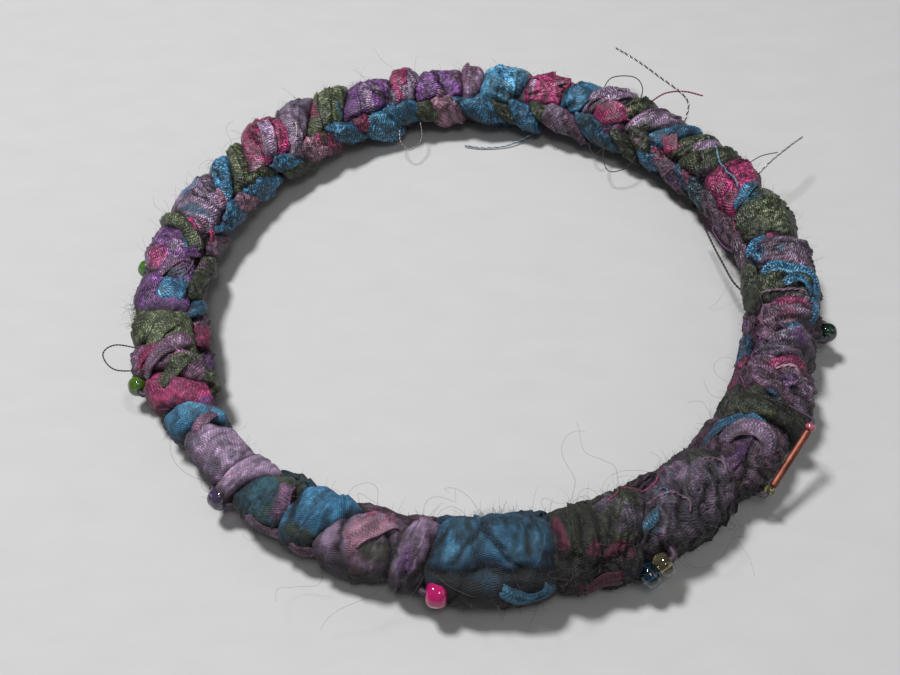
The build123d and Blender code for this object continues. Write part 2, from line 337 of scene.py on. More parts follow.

# Placed dye patches: azimuth, angle round the section, their half sizes, dye, lean. The 'dark' ones low on the
# front's outer side are painted shadow under the overhanging turns.
PATCHES = [
    (266, 120, 2.2, 30, "teal", 0), (258.6, 45, 1.2, 26, "violet", 0), (254, 55, 2.4, 22, "olive", 0.03),
    (252.5, 122, 3.4, 16, "magenta", 0), (247.6, 75, 0.9, 22, "lilac", 0), (243, 32, 4, 22, "olive", 0),
    (237.2, 75, 1.3, 45, "mauve", 0), (236, 115, 3, 20, "olive", 0), (202.6, 95, 1.4, 70, "olive", -0.02),
    (199, 60, 1.4, 50, "magenta", -0.02), (195.2, 75, 1.3, 13, "magenta", 0),
    (107.4, 110, 0.9, 60, "magenta", 0), (77.2, 90, 0.7, 55, "lilac", 0), (9.4, 90, 0.6, 55, "magenta", 0),
    (5, 138, 3.4, 18, "blue", 0), (-5, 148, 3, 18, "olive", 0), (266, 30, 4.6, 15, "dark", 0),
    (276, 33, 5.4, 11, "dark", 0), (272, 8, 12, 14, "dark", 0), (266, 72, 2.2, 14, "sky", 0),
    (277.4, 84, 2.2, 16, "sky", 0), (273, 120, 4, 12, "teal", 0), (283.4, 76, 1.6, 20, "moss", 0),
    (282, 92, 0.8, 30, "magenta", 0), (286.6, 58, 1.5, 11, "magenta", 0), (290, 46, 2.6, 14, "magenta", 0),
    (287, 30, 5, 14, "dark", 0), (293, 82, 3, 16, "grey", 0), (291, 100, 3, 12, "moss", 0),
    (296.6, 66, 0.8, 22, "blue", 0.04), (293.6, 44, 1.8, 14, "dark", 0), (305, 96, 3, 16, "lilac", 0),
    (300, 56, 3.6, 14, "grey", 0), (312, 72, 1.6, 9, "lilac", 0), (310, 118, 3.4, 12, "olive", 0),
    (317.6, 80, 2, 14, "violet", 0), (314.4, 80, 1.4, 10, "violet", 0), (5, 98, 0.9, 9, "blue", 0),
    (3.8, 74, 2.6, 18, "lilac", 0), (1.2, 134, 0.9, 8, "magenta", 0), (357, 148, 2.8, 14, "moss", 0),
    (342.8, 82, 1.4, 13, "violet", 0), (338.6, 98, 1.5, 9, "magenta", 0), (335.6, 102, 1.4, 13, "magenta", 0),
    (333.2, 74, 1.9, 17, "violet", 0), (350.6, 100, 1.6, 30, "magenta", 0),
    (347.8, 100, 1.3, 12, "magenta", 0), (348.6, 160, 3.4, 20, "magenta", 0),
    (344, 150, 3.4, 18, "violet", 0), (185.4, 60, 3.2, 26, "violet", 0), (179.6, 80, 0.9, 50, "teal", 0),
    (176.2, 60, 2.5, 22, "magenta", 0), (171.4, 112, 2.4, 14, "blue", 0.04), (173.6, 92, 1.5, 16, "lilac", 0),
    (163.6, 94, 1, 36, "blue", 0.02), (157.8, 50, 3.2, 14, "blue", 0), (146, 116, 0.8, 16, "blue", 0.08),
    (126.4, 72, 1.5, 46, "magenta", 0.02), (121.5, 124, 0.5, 18, "blue", 0),
    (58.2, 126, 1.9, 22, "magenta", 0.13), (48.4, 132, 2.6, 20, "olive", 0),
    (41.8, 130, 1.5, 18, "magenta", 0.1), (26.4, 32, 4.6, 14, "olive", 0), (19.8, 106, 2.6, 28, "teal", 0),
    (19.2, 122, 0.9, 22, "blue", 0), (14.6, 86, 2.6, 26, "moss", 0), (78.2, 60, 0.9, 34, "lilac", 0),
]


# Single deep creases, with painted shade in their hollows: first and last azimuth and angle round the section,
# half width, depth
CREASES = [
    (270, 124, 270.5, 97, 0.42, 0.55), (270.5, 97, 272.6, 80, 0.36, 0.45), (272.6, 80, 274.2, 56, 0.32, 0.38),
    (262, 43, 270, 47, 0.9, 0.45), (270, 50, 281.4, 41, 1.1, 0.6), (279.4, 60, 281.6, 44, 0.7, 0.4),
    (262.2, 62, 263.4, 96, 0.4, 0.25), (266, 60, 268.6, 100, 0.45, 0.22), (276.6, 70, 277.6, 110, 0.5, 0.2),
    (284.8, 70, 286.4, 112, 0.5, 0.5), (281.8, 62, 285.6, 34, 0.8, 0.5), (289, 70, 291.4, 100, 0.6, 0.4),
    (288.6, 30, 292.8, 52, 0.9, 0.6), (295, 46, 297.6, 84, 0.5, 0.45), (304.4, 44, 306.6, 72, 0.6, 0.5),
    (300.6, 60, 303.6, 96, 0.45, 0.35), (308.4, 52, 309.6, 88, 0.6, 0.45), (311.6, 92, 316, 122, 0.6, 0.45),
    (313.4, 40, 316.6, 66, 0.6, 0.5), (355.8, 116, 357.6, 98, 0.34, 0.65), (357.6, 98, 357.4, 80, 0.3, 0.5),
    (354.6, 78, 355, 58, 0.28, 0.4), (2.2, 124, 1, 88, 0.45, 0.5), (8, 142, 6.2, 134, 0.4, 0.6),
    (345.2, 112, 342.2, 128, 0.5, 0.5), (341.4, 70, 340.6, 104, 0.5, 0.45), (331.8, 64, 332.2, 104, 0.5, 0.4),
    (327.4, 60, 328.6, 112, 0.7, 0.5), (256.4, 60, 254.6, 92, 0.5, 0.35), (248.4, 40, 247.6, 100, 0.5, 0.4),
    (239.6, 60, 238.4, 100, 0.5, 0.35), (76.8, 128, 73.4, 108, 0.3, 0.45), (73.4, 108, 69.4, 80, 0.3, 0.45),
    (29.6, 96, 23.2, 104, 0.3, 0.45), (84.4, 128, 80.2, 140, 0.5, 0.5), (110.6, 120, 112.6, 96, 0.4, 0.45),
    (69, 150, 67, 130, 0.5, 0.5), (99, 70, 97, 110, 0.35, 0.25), (159, 66, 160.6, 104, 0.3, 0.22),
    (140.6, 60, 141.6, 96, 0.3, 0.25), (152, 60, 153.6, 100, 0.4, 0.3), (34.6, 110, 31.4, 130, 0.4, 0.4),
]


def placed_creases(azimuth, around, radius, seed):
    """How deep the placed creases cut at each point, and how much painted shade falls in them there."""
    dig = np.zeros(azimuth.shape)
    dark = np.zeros(azimuth.shape)
    middle = azimuth.mean()
    for k, (a0, v0, a1, v1, half, depth) in enumerate(CREASES):
        if abs(math.remainder(a0 - middle, 360)) > 14:
            continue
        x = turned(azimuth, a0) * MM_PER_DEGREE
        y = np.radians(around - v0) * radius
        line = np.array([(a1 - a0) * MM_PER_DEGREE, math.radians(v1 - v0) * radius])
        span = np.linalg.norm(line)
        along = np.clip((x * line[0] + y * line[1]) / span, 0, span)
        aside = (x * line[1] - y * line[0]) / span
        off = aside + 0.35 * noise(x * 0.8, y * 0.8, k, seed)
        past = np.hypot(x - line[0] * along / span, y - line[1] * along / span) - np.abs(aside)
        fade = (np.maximum(past, 0) / 0.8) ** 2
        reach = np.exp(-(off / half) ** 2 - fade)
        lip = np.exp(-((off - 1.9 * half) / half) ** 2 - fade)
        dig = dig - depth * reach + 0.3 * depth * lip
        # painted shade in the crease's hollow
        dark = np.maximum(dark, reach)
    return dig, dark


def edge_line(edge, around, radius, seed):
    """Azimuth of a turn edge round the section: slanted, and wandering as real cloth does."""
    azimuth, slant = edge
    v = np.radians(around)
    shift = -radius * np.cos(v) * math.tan(math.radians(slant))
    shift = shift + 0.42 * noise(np.cos(v) * 1.3, np.sin(v) * 1.3, 0.5, seed)
    return azimuth + np.degrees(np.arctan2(shift, RING_RADIUS + radius * np.cos(v)))


SURFACE_POINTS = []


def wrapped(around):
    """The same angle round the section, from -90 (underneath) to 270."""
    return (np.asarray(around) + 90) % 360 - 90


TURN_ROWS = 156
COLUMN_MM = 0.085
UNDER_COLUMNS = 5
FRONT_WEAVE = 1.35  # the yarn in front is woven finer
INNER_PULL_IN = 0.75
OUTER_PULL_IN = 0.25


def ribbon_turn(turn):
    """One crumpled turn of ribbon as a closed ring, in place of its CAD node."""
    number = turn["number"]
    base, accent, share, fold_count, fold_height, puff = TURN_LOOKS[number - 1]
    rng = np.random.default_rng(100 + number)
    around = np.linspace(0, 360, TURN_ROWS, endpoint=False)
    radius = band_radius(np.linspace(turn["first"][0], turn["last"][0], 9)).mean()
    next_number = number % len(TURNS) + 1
    high = edge_line(turn["first"], around, radius, 500 + number)
    low = edge_line(turn["last"], around, radius, 500 + next_number)
    width = (turn["first"][0] - turn["last"][0]) * MM_PER_DEGREE
    top_columns = max(30, int((width + 2 * puff) / COLUMN_MM))
    across, up = section_angles(top_columns, 0.78)
    # the closing columns run under the cloth, so that the turn is a closed ring
    under = np.linspace(0, 1, UNDER_COLUMNS + 2)[1:-1]
    across = np.concatenate([across, across[-1] + (across[0] - across[-1]) * under])
    up = np.concatenate([up, np.full(UNDER_COLUMNS, up[0])])
    u, v = np.meshgrid(across, around, indexing="ij")
    rise = np.meshgrid(up, around, indexing="ij")[0]
    cx, sy = cos_sin(v)
    # the puff swells and leans along its way round
    swell = 1.15 + 0.22 * noise(cx * 1.2, sy * 1.2, number * 3.1, 11)
    lean = 0.2 * noise(cx * 1.1, sy * 1.1, number * 1.7, 12)
    middle, half = (high + low) / 2, (high - low) / 2
    half = np.maximum(half, 0.9) * 1.02
    azimuth = middle + half * (u + lean * np.clip(rise, 0, 1))
    top = radius + 0.12 + rng.uniform(-0.34, 0.30) + 0.30 * noise(cx * 1.3, sy * 1.3, number * 2.3, 13)
    rho = top + puff * swell * (rise - 1)
    outer = np.clip((rise + 0.35) / 0.9, 0, 1)  # the cloth that shows, not its tucked edges
    folds = [(-0.8 + 1.6 * (k + rng.uniform(0.2, 0.8)) / fold_count, rng.uniform(-0.011, 0.011),
              fold_height * rng.uniform(0.8, 1.7), rng.uniform(0.12, 0.30)) for k in range(fold_count)]
    lifted, crease_shade = fold_steps(u, v, folds, 900 + 20 * number)
    rho = rho + outer * (lifted - 0.12)
    t = azimuth * MM_PER_DEGREE
    # lumps, fine creases where a drifting noise crosses nought, and the nubs of rough yarn
    lumps = fbm(cx * 2.1, sy * 2.1, t * 0.42, 21, 2)
    drift = fbm(cx * 1.3, sy * 1.3, t * 0.35, 31, 2)
    vein_noise = fbm(cx * 2.3 + drift, sy * 2.3 - drift, t * 0.80 + 1.3 * drift, 22 + number, 3)
    vein = np.exp(-(vein_noise / 0.055) ** 2)
    nub = fbm(cx * 5.2, sy * 5.2, t * 1.25, 23, 2)
    rough = crumpled(azimuth)
    rho = rho + outer * (0.30 * lumps + rough * (0.62 * (np.abs(vein_noise) - 0.25) - 0.10 * vein)
                         + 0.12 * nub * knobbly(azimuth))
    dig, placed_shade = placed_creases(azimuth, v, radius, 26)
    rho = rho + outer * (dig + outline(azimuth, v))
    # painted shade in the fold creases, the fine creases and the placed creases
    crease_shade = np.maximum(np.maximum(crease_shade, 0.62 * vein * rough), 1.12 * placed_shade)
    # the turn pulls in where the row of small inner loops begins, and under its outer side
    rho = rho - INNER_PULL_IN * window(v, 132, 156, 225, 262)
    rho = rho - OUTER_PULL_IN * smooth_step(-wrapped(v), 2, 30)
    SURFACE_POINTS.append(np.stack([azimuth[:top_columns].ravel(), v[:top_columns].ravel(),
                                    rho[:top_columns].ravel()], -1))
    points = above_table(on_band(azimuth, v, rho))
    i_uv = np.concatenate([np.cumsum(np.full(top_columns, COLUMN_MM)), np.zeros(UNDER_COLUMNS + 1)])
    uv = uv_grid(i_uv, np.linspace(0, 2 * math.pi * radius, TURN_ROWS + 1))
    if 222 < turn["middle"] % 360 < 282:
        uv *= FRONT_WEAVE
    here = [p for p in PATCHES if abs(math.remainder(p[0] - turn["middle"], 360)) < half.mean() + 0.4]
    colour = blend_dye(base, here, azimuth, v, 700 + number, accent, share)
    # painted light and shade: darker towards the tucked edges, in creases, in the groove above the inner loops
    # and low on the outer side; lighter on lumps and raised nubs
    painted_shading = np.clip((rise + 0.12) / 0.95, 0.04, 1) ** 1.25 * (1 - 0.80 * crease_shade) * (1 + 0.25 * lumps)
    painted_shading = painted_shading * (1 + 0.42 * nub * knobbly(azimuth))
    painted_shading = painted_shading * (1 - 0.6 * window(v, 134, 154, 210, 250))
    colour *= (painted_shading * painted_underside_shade(v, azimuth) * dye_depth_and_painted_shade(azimuth))[..., None]
    piece = grid_mesh(f"ribbon_{number:02d}", points, uv, colour)
    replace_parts(piece, turn["node"])
    cloth(piece, turn["node"].split("_")[0])


def outline(azimuth, around):
    """How much further out the outer side lies than the round section: less on the right, more on the left."""
    push = round_ring(azimuth, (0, 6, 160, 167, 203, 209, 302, 310, 316, 331, 336, 346, 355, 360),
                      (-0.5, 0, 0, 0.5, 0.5, 0, 0, -0.5, -0.1, -0.1, -0.7, -1.3, -1.3, -0.5))
    return push * window(wrapped(around), -75, -15, 35, 85)


def painted_underside_shade(around, azimuth):
    """Painted shade: how light the ribbon is, darker on its low outer side and underside, most of all in front.
    """
    front = round_ring(azimuth, (0, 205, 235, 262, 300, 335, 360), (0, 0, 0.5, 1, 1, 0.4, 0))
    edge = 18 + 17 * front
    floor = 0.22 - 0.17 * front
    return floor + (1 - floor) / (1 + np.exp(-(wrapped(around) - edge) / 7))


def dye_depth_and_painted_shade(azimuth):
    """How light or deep the cloth is round the ring: partly the dye's own depth, partly painted shade where the
    ring lies darker, deepest on the front right.
    """
    return round_ring(azimuth, (0, 30, 60, 90, 120, 150, 180, 203, 225, 245, 265, 282, 300, 325, 345, 360),
                      (0.66, 0.74, 0.76, 0.88, 0.9, 0.8, 0.76, 0.98, 1.12, 1, 0.86, 0.5, 0.5, 0.58, 0.64, 0.66))


def crumpled(azimuth):
    """How finely the cloth is crumpled round the ring: taut behind and in front, rough on the right."""
    return round_ring(azimuth, (0, 25, 45, 200, 280, 290, 330, 360),
                      (0.9, 0.6, 0.32, 0.34, 0.34, 0.8, 0.9, 0.9))


def knobbly(azimuth):
    """The right of the ring is wound from rougher yarn."""
    return round_ring(azimuth, (0, 20, 60, 200, 280, 292, 345, 360),
                      (1.6, 1.2, 0.4, 0.35, 0.35, 1.9, 1.8, 1.6))


# ---- Materials ----


def add(material, kind, inputs, **settings):
    """A shader node of a kind. Its inputs, by name or number, are values or other nodes' outputs."""
    node = material.node_tree.nodes.new("ShaderNode" + kind)
    for key, value in settings.items():
        setattr(node, key, value)
    for key, value in inputs.items():
        if isinstance(value, bpy.types.NodeSocket):
            material.node_tree.links.new(value, node.inputs[key])
        else:
            node.inputs[key].default_value = value
    return node


def object_noise(material, scale, detail=2.0, **more):
    """Noise that stays where it is on the object."""
    place = add(material, "TexCoord", {}).outputs["Object"]
    return add(material, "TexNoise", {"Vector": place, "Scale": scale, "Detail": detail, **more})


def mapped(material, value, low, high, from_low=0.0, from_high=1.0):
    """A value's range from_low to from_high spread over low to high, and held at its ends."""
    return add(material, "MapRange", {"Value": value, "From Min": from_low, "From Max": from_high,
                                      "To Min": low, "To Max": high}).outputs[0]


def maths(material, operation, *values):
    return add(material, "Math", dict(enumerate(values)), operation=operation).outputs[0]


def scaled_colour(material, colour, factor):
    return add(material, "VectorMath", {0: colour, "Scale": factor}, operation="SCALE").outputs[0]


def bumped(material, height, strength, distance):
    return add(material, "Bump", {"Height": height, "Strength": strength, "Distance": distance}).outputs[0]


def finish_material(name, make):
    """A Principled material whose inputs come from make(material)."""
    material = bpy.data.materials.new(name)
    material.use_nodes = True
    material.node_tree.nodes.clear()
    shader = add(material, "BsdfPrincipled", make(material))
    add(material, "OutputMaterial", {"Surface": shader.outputs[0]})
    return material


WARP_MM = 0.34
WEFT_MM = 0.30
PAINTED_GLINT_GAIN = {"ribbon_olive": 12.0, "ribbon_mauve": 6.4}
OTHER_PAINTED_GLINT_GAIN = 8.6


def cloth_material(name):
    """Shiny plain-weave ribbon. Its dye, with painted light and shade, is painted on the mesh; threads, their
    painted shade and painted glints are nodes.
    """
    def make(m):
        dye = add(m, "VertexColor", {}, layer_name="dye")
        uv = add(m, "UVMap", {}, uv_map="ribbon").outputs[0]
        wobble = object_noise(m, 900).outputs["Color"]
        bent = add(m, "VectorMath", {0: wobble, 1: (0.35, 0.35, 0), 2: uv}, operation="MULTIPLY_ADD").outputs[0]
        split = add(m, "SeparateXYZ", {0: bent}).outputs
        waves = [maths(m, "SINE", maths(m, "MULTIPLY", split[k], 2 * math.pi / period))
                 for k, period in enumerate((WARP_MM, WEFT_MM))]
        # plain weave: warp and weft come up in turn
        weave = maths(m, "MULTIPLY_ADD", maths(m, "MULTIPLY", *waves), 0.5, 0.5)
        raised = maths(m, "POWER", weave, 1.8)
        wear = object_noise(m, 420, 4).outputs["Fac"]
        # the painted alpha says how crisp the weave still is, and so how strong its painted shade and painted
        # glints are
        crisp = dye.outputs["Alpha"]
        # painted weave shade: thread crowns lighter, the gaps between them darker; then mottled at random
        tone = maths(m, "MULTIPLY_ADD", maths(m, "MULTIPLY_ADD", raised, 2.2, -0.76), crisp, 1.0)
        tone = maths(m, "MULTIPLY", tone, mapped(m, wear, 0.64, 1.26, 0.34, 0.66))
        # painted glints: bright specks where a shiny thread comes up, in drifts
        painted_glint = mapped(m, object_noise(m, 2400, 1).outputs["Fac"], 0, 1, 0.49, 0.60)
        for share in (raised, mapped(m, object_noise(m, 230).outputs["Fac"], 0.28, 1, 0.38, 0.56), crisp):
            painted_glint = maths(m, "MULTIPLY", painted_glint, share)
        gain = PAINTED_GLINT_GAIN.get(name, OTHER_PAINTED_GLINT_GAIN)
        # the painted glint colour: the dye made much lighter
        pale = add(m, "VectorMath", {0: dye.outputs["Color"], 1: (gain,) * 3, 2: (0.012, 0.012, 0.014)},
                   operation="MULTIPLY_ADD").outputs[0]
        painted_shading = scaled_colour(m, dye.outputs["Color"], tone)
        lit = add(m, "Mix", {0: painted_glint, 6: painted_shading, 7: pale}, data_type="RGBA")
        relief = maths(m, "MULTIPLY_ADD", object_noise(m, 1300, 4).outputs["Fac"], 1.3, weave)
        return {"Base Color": lit.outputs[2],
                "Roughness": maths(m, "MULTIPLY_ADD", crisp, -0.38, mapped(m, wear, 0.66, 0.86)),
                "Normal": bumped(m, relief, 0.62, 0.00009), "Specular IOR Level": 0.4,
                "Sheen Weight": 0.05, "Sheen Roughness": 0.45, "Sheen Tint": (0.85, 0.8, 0.9, 1)}
    return finish_material(name, make)


CLOTHS = {}


def cloth(piece, family):
    """Give a ribbon piece the cloth of its dye family and the record's slot of that family."""
    if family not in CLOTHS:
        CLOTHS[family] = cloth_material("ribbon_" + family)
    piece.data.materials.append(CLOTHS[family])


for turn in TURNS:
    ribbon_turn(turn)


AZIMUTH_CELLS, AROUND_CELLS = 1440, 180


def surface_cells(azimuth, around):
    """Cells of the surface map: quarter degrees of azimuth, 2 degrees round the section."""
    return (np.round((np.asarray(azimuth) % 360) * 4).astype(int) % AZIMUTH_CELLS,
            np.round(np.asarray(around) / 2).astype(int) % AROUND_CELLS)


def surface_map():
    """Radius of the finished turns over the cells, with the empty ones filled in from their neighbours."""
    got = np.vstack(SURFACE_POINTS)
    grid = np.zeros((AZIMUTH_CELLS, AROUND_CELLS))
    np.maximum.at(grid, surface_cells(got[:, 0], got[:, 1]), got[:, 2])
    for _ in range(6):
        near = np.max([np.roll(grid, k, axis) for axis in (0, 1) for k in (-1, 1)], 0)
        grid = np.where(grid == 0, near, grid)
    for _ in range(3):
        grid = (2 * grid + sum(np.roll(grid, k, axis) for axis in (0, 1) for k in (1, -1))) / 6
    return grid


SURFACE = surface_map()


def surface_radius(azimuth, around):
    return SURFACE[surface_cells(azimuth, around)]


# ---- Painted shade: a dark ribbon underneath, seen in the gaps ----


UNDER_DEPTH = 1.15


def add_shade_underlay():
    """A dark closed ring of ribbon below the turns: painted shade that shows in the gaps between them."""
    azimuth = np.linspace(0, 360, 900, endpoint=False)
    around = np.linspace(0, 360, 60, endpoint=False)
    a, v = np.meshgrid(azimuth, around, indexing="ij")
    cx, sy = cos_sin(v)
    x, y = (12 * side for side in cos_sin(a))
    rho = band_radius(a) - UNDER_DEPTH + 0.8 * outline(a, v) + 0.25 * fbm(x, y, cx * 2 + sy, 61, 3)
    points = above_table(on_band(a, v, rho))
    uv = uv_grid(np.linspace(0, 230, 901), np.linspace(0, 20, 61))
    colour = blend_dye("dark", [], a, v, 62, "olive", 0.25)
    cloth(grid_mesh("painted_shade_underlay", points, uv, colour), "violet")


add_shade_underlay()


# ---- Small loops of ribbon along the inner edge ----
# first and last azimuth, angle round the section, thickness, dye, accent
INNER_LOOPS = [
    (207.5, 202.5, 150, 1.7, "olive", "moss"), (202, 197, 170, 1.6, "violet", "mauve"),
    (196.5, 191.5, 160, 1.9, "magenta", "violet"), (191, 188, 168, 1.6, "mauve", "olive"),
    (189, 184.6, 150, 1.9, "blue", "grey"), (184, 178.4, 150, 2, "olive", "dark"),
    (178, 172.6, 158, 2.1, "olive", "mauve"), (169.4, 164.6, 168, 1.9, "mauve", "olive"),
    (164, 160.4, 160, 1.8, "blue", "teal"), (160.2, 155.6, 158, 2.2, "blue", "mauve"),
    (155.6, 151.4, 164, 2.1, "pink", "mauve"), (149.4, 143.8, 144, 2.1, "olive", "moss"),
    (150.6, 143, 172, 2.2, "blue", "sky"), (141.6, 136.2, 158, 2, "blue", "sky"),
    (140.4, 132, 178, 2.1, "olive", "blue"), (136.6, 133.6, 150, 1.5, "lilac", "mauve"),
    (133.2, 128.2, 165, 2.4, "pink", "mauve"), (129.4, 125.2, 162, 2.1, "magenta", "olive"),
    (124.4, 118.4, 166, 2.5, "blue", "olive"), (118.6, 115.6, 160, 1.9, "magenta", "violet"),
    (115.8, 109.6, 178, 2.6, "sky", "blue"), (109.8, 103.4, 160, 2.3, "blue", "teal"),
    (103.2, 99.4, 164, 2, "olive", "moss"), (99.2, 93.4, 168, 2.5, "pink", "mauve"),
    (93, 90.2, 160, 1.9, "blue", "teal"), (89.8, 84.2, 168, 2.4, "blue", "sky"),
    (83.6, 80.2, 165, 2, "olive", "dark"), (80, 75, 172, 2.6, "blue", "sky"),
    (74.8, 72.2, 160, 1.8, "olive", "moss"), (72.4, 67.6, 160, 2.6, "lilac", "mauve"),
    (68.4, 63.4, 170, 2.6, "mauve", "lilac"), (62.4, 55.8, 168, 2.1, "blue", "teal"),
    (57, 54.4, 152, 1.6, "violet", "magenta"), (54.4, 49.4, 165, 2.2, "olive", "moss"),
    (48.8, 46.2, 150, 1.9, "olive", "mauve"), (46.8, 43.4, 164, 1.9, "blue", "sky"),
    (43.4, 41.2, 156, 1.5, "magenta", "pink"), (41.4, 35.6, 170, 1.9, "mauve", "violet"),
    (35.8, 33.4, 160, 1.4, "blue", "mauve"), (34.4, 31, 156, 1.5, "magenta", "mauve"),
    (31.4, 26.8, 166, 1.6, "teal", "blue"), (26.2, 20.4, 158, 1.4, "mauve", "dark"),
    (20, 12, 156, 1.3, "mauve", "magenta"), (11.4, 3, 158, 1.4, "mauve", "dark"),
    (1.6, -7.6, 150, 1.9, "olive", "moss"), (-8.2, -14, 160, 1.8, "mauve", "violet"),
    (-14.6, -21, 165, 1.9, "blue", "grey"), (-21.6, -29.6, 158, 1.8, "magenta", "violet"),
    (-30.2, -36, 165, 1.9, "olive", "moss"), (-36.8, -46.4, 160, 1.8, "mauve", "violet"),
    (-47.2, -55, 166, 1.9, "grey", "mauve"), (-55.6, -63.4, 160, 1.8, "mauve", "olive"),
    (-64.2, -71.4, 164, 1.9, "moss", "olive"), (-72.2, -78.6, 160, 1.8, "olive", "magenta"),
    (-79.4, -88, 168, 2, "blue", "teal"), (-88.6, -97.2, 160, 1.9, "blue", "sky"),
    (-97.8, -103, 166, 1.8, "pink", "mauve"), (-103.6, -112.6, 160, 1.8, "mauve", "olive"),
    (-113.4, -121, 165, 1.7, "blue", "olive"), (-121.6, -128.6, 160, 1.6, "teal", "olive"),
]


LOOP_ROWS = 64
LOOP_OVERLAP = 1.1
LOOP_DEPTH = 0.35
INNER_RADIUS = 34


def inner_loop(number, first, last, around, size, dye, accent):
    """A small twisted bunch of ribbon pressed against the inner side of the band."""
    rng = np.random.default_rng(3000 + number)
    columns, rows = max(40, int((first - last) * 7)), LOOP_ROWS
    phi = np.radians(np.linspace(0, 180, columns))
    x = -np.sign(np.cos(phi)) * np.abs(np.cos(phi)) ** 0.8
    girth = np.maximum(np.sin(phi), 0) ** 0.5
    turn_round = np.linspace(0, 360, rows, endpoint=False)
    u, w = np.meshgrid(x, turn_round, indexing="ij")
    fat = np.meshgrid(girth, turn_round, indexing="ij")[0]
    middle, half = (first + last) / 2, (first - last) / 2 + LOOP_OVERLAP
    if 215 < middle % 360 < 352:
        around, size = around + 10, size * 0.75  # tucked away below the inner edge there
    cw, sw = cos_sin(w)
    radius = size / 2 * (1.05 + 0.28 * noise(cw * 1.3 + u, sw * 1.3, number * 2.7, 71))
    folds = [(-0.75 + 0.42 * k + rng.uniform(-0.15, 0.15), rng.uniform(-0.012, 0.012),
              rng.uniform(0.16, 0.34), rng.uniform(0.14, 0.35)) for k in range(4)]
    lifted, crease_shade = fold_steps(u, w, folds, 3100 + number)
    lumps = fbm(cw * 2.0 + u * 1.6, sw * 2.0, u * 2.0 + number, 72, 3)
    radius = radius + lifted * fat + 0.22 * lumps
    band = float(band_radius(middle))
    bow = rng.uniform(-9, 9) * u + rng.uniform(-4, 4)
    v = np.radians(around + 6 + bow)
    tall = rng.uniform(1.35, 1.75)
    seat = band - LOOP_DEPTH
    out = seat * np.cos(v) + radius * fat * cw
    up = seat * np.sin(v) + radius * fat * sw * tall
    slope = rng.uniform(0.35, 1.1)
    azimuth = middle + half * u + slope * np.degrees((up - seat * np.sin(v)) / INNER_RADIUS)
    a = np.radians(azimuth)
    r = RING_RADIUS + out
    points = above_table(np.stack([r * np.cos(a), r * np.sin(a), CENTRE_HEIGHT + up], -1))
    length = 2.6 * half * MM_PER_DEGREE
    uv = uv_grid(np.linspace(0, length, columns + 1), np.linspace(0, 1.45 * math.pi * size, rows + 1))
    colour = blend_dye(dye, [], azimuth, w, 3200 + number, accent, 0.3)
    # painted light and shade: darker in creases, towards the loop's thin ends and all over, as the loops sit in
    # the band's shade; lighter on lumps
    painted_shading = (1 - 0.7 * crease_shade) * (1 + 0.4 * lumps) * (0.25 + 0.75 * np.clip(fat * 1.3 - 0.2, 0, 1))
    painted_shading = painted_shading * dye_depth_and_painted_shade(azimuth) * float(round_ring(middle, (0, 60, 80, 190, 230, 360),
                                                     (0.58, 0.62, 0.68, 0.62, 0.5, 0.58)))
    colour *= painted_shading[..., None]
    piece = grid_mesh(f"inner_loop_{number:02d}", points, uv, colour, wrap_i=False)
    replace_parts(piece, "inner_loops")
    cloth(piece, FAMILY.get(dye, dye))


for number, facts in enumerate(INNER_LOOPS, start=1):
    inner_loop(number, *facts)


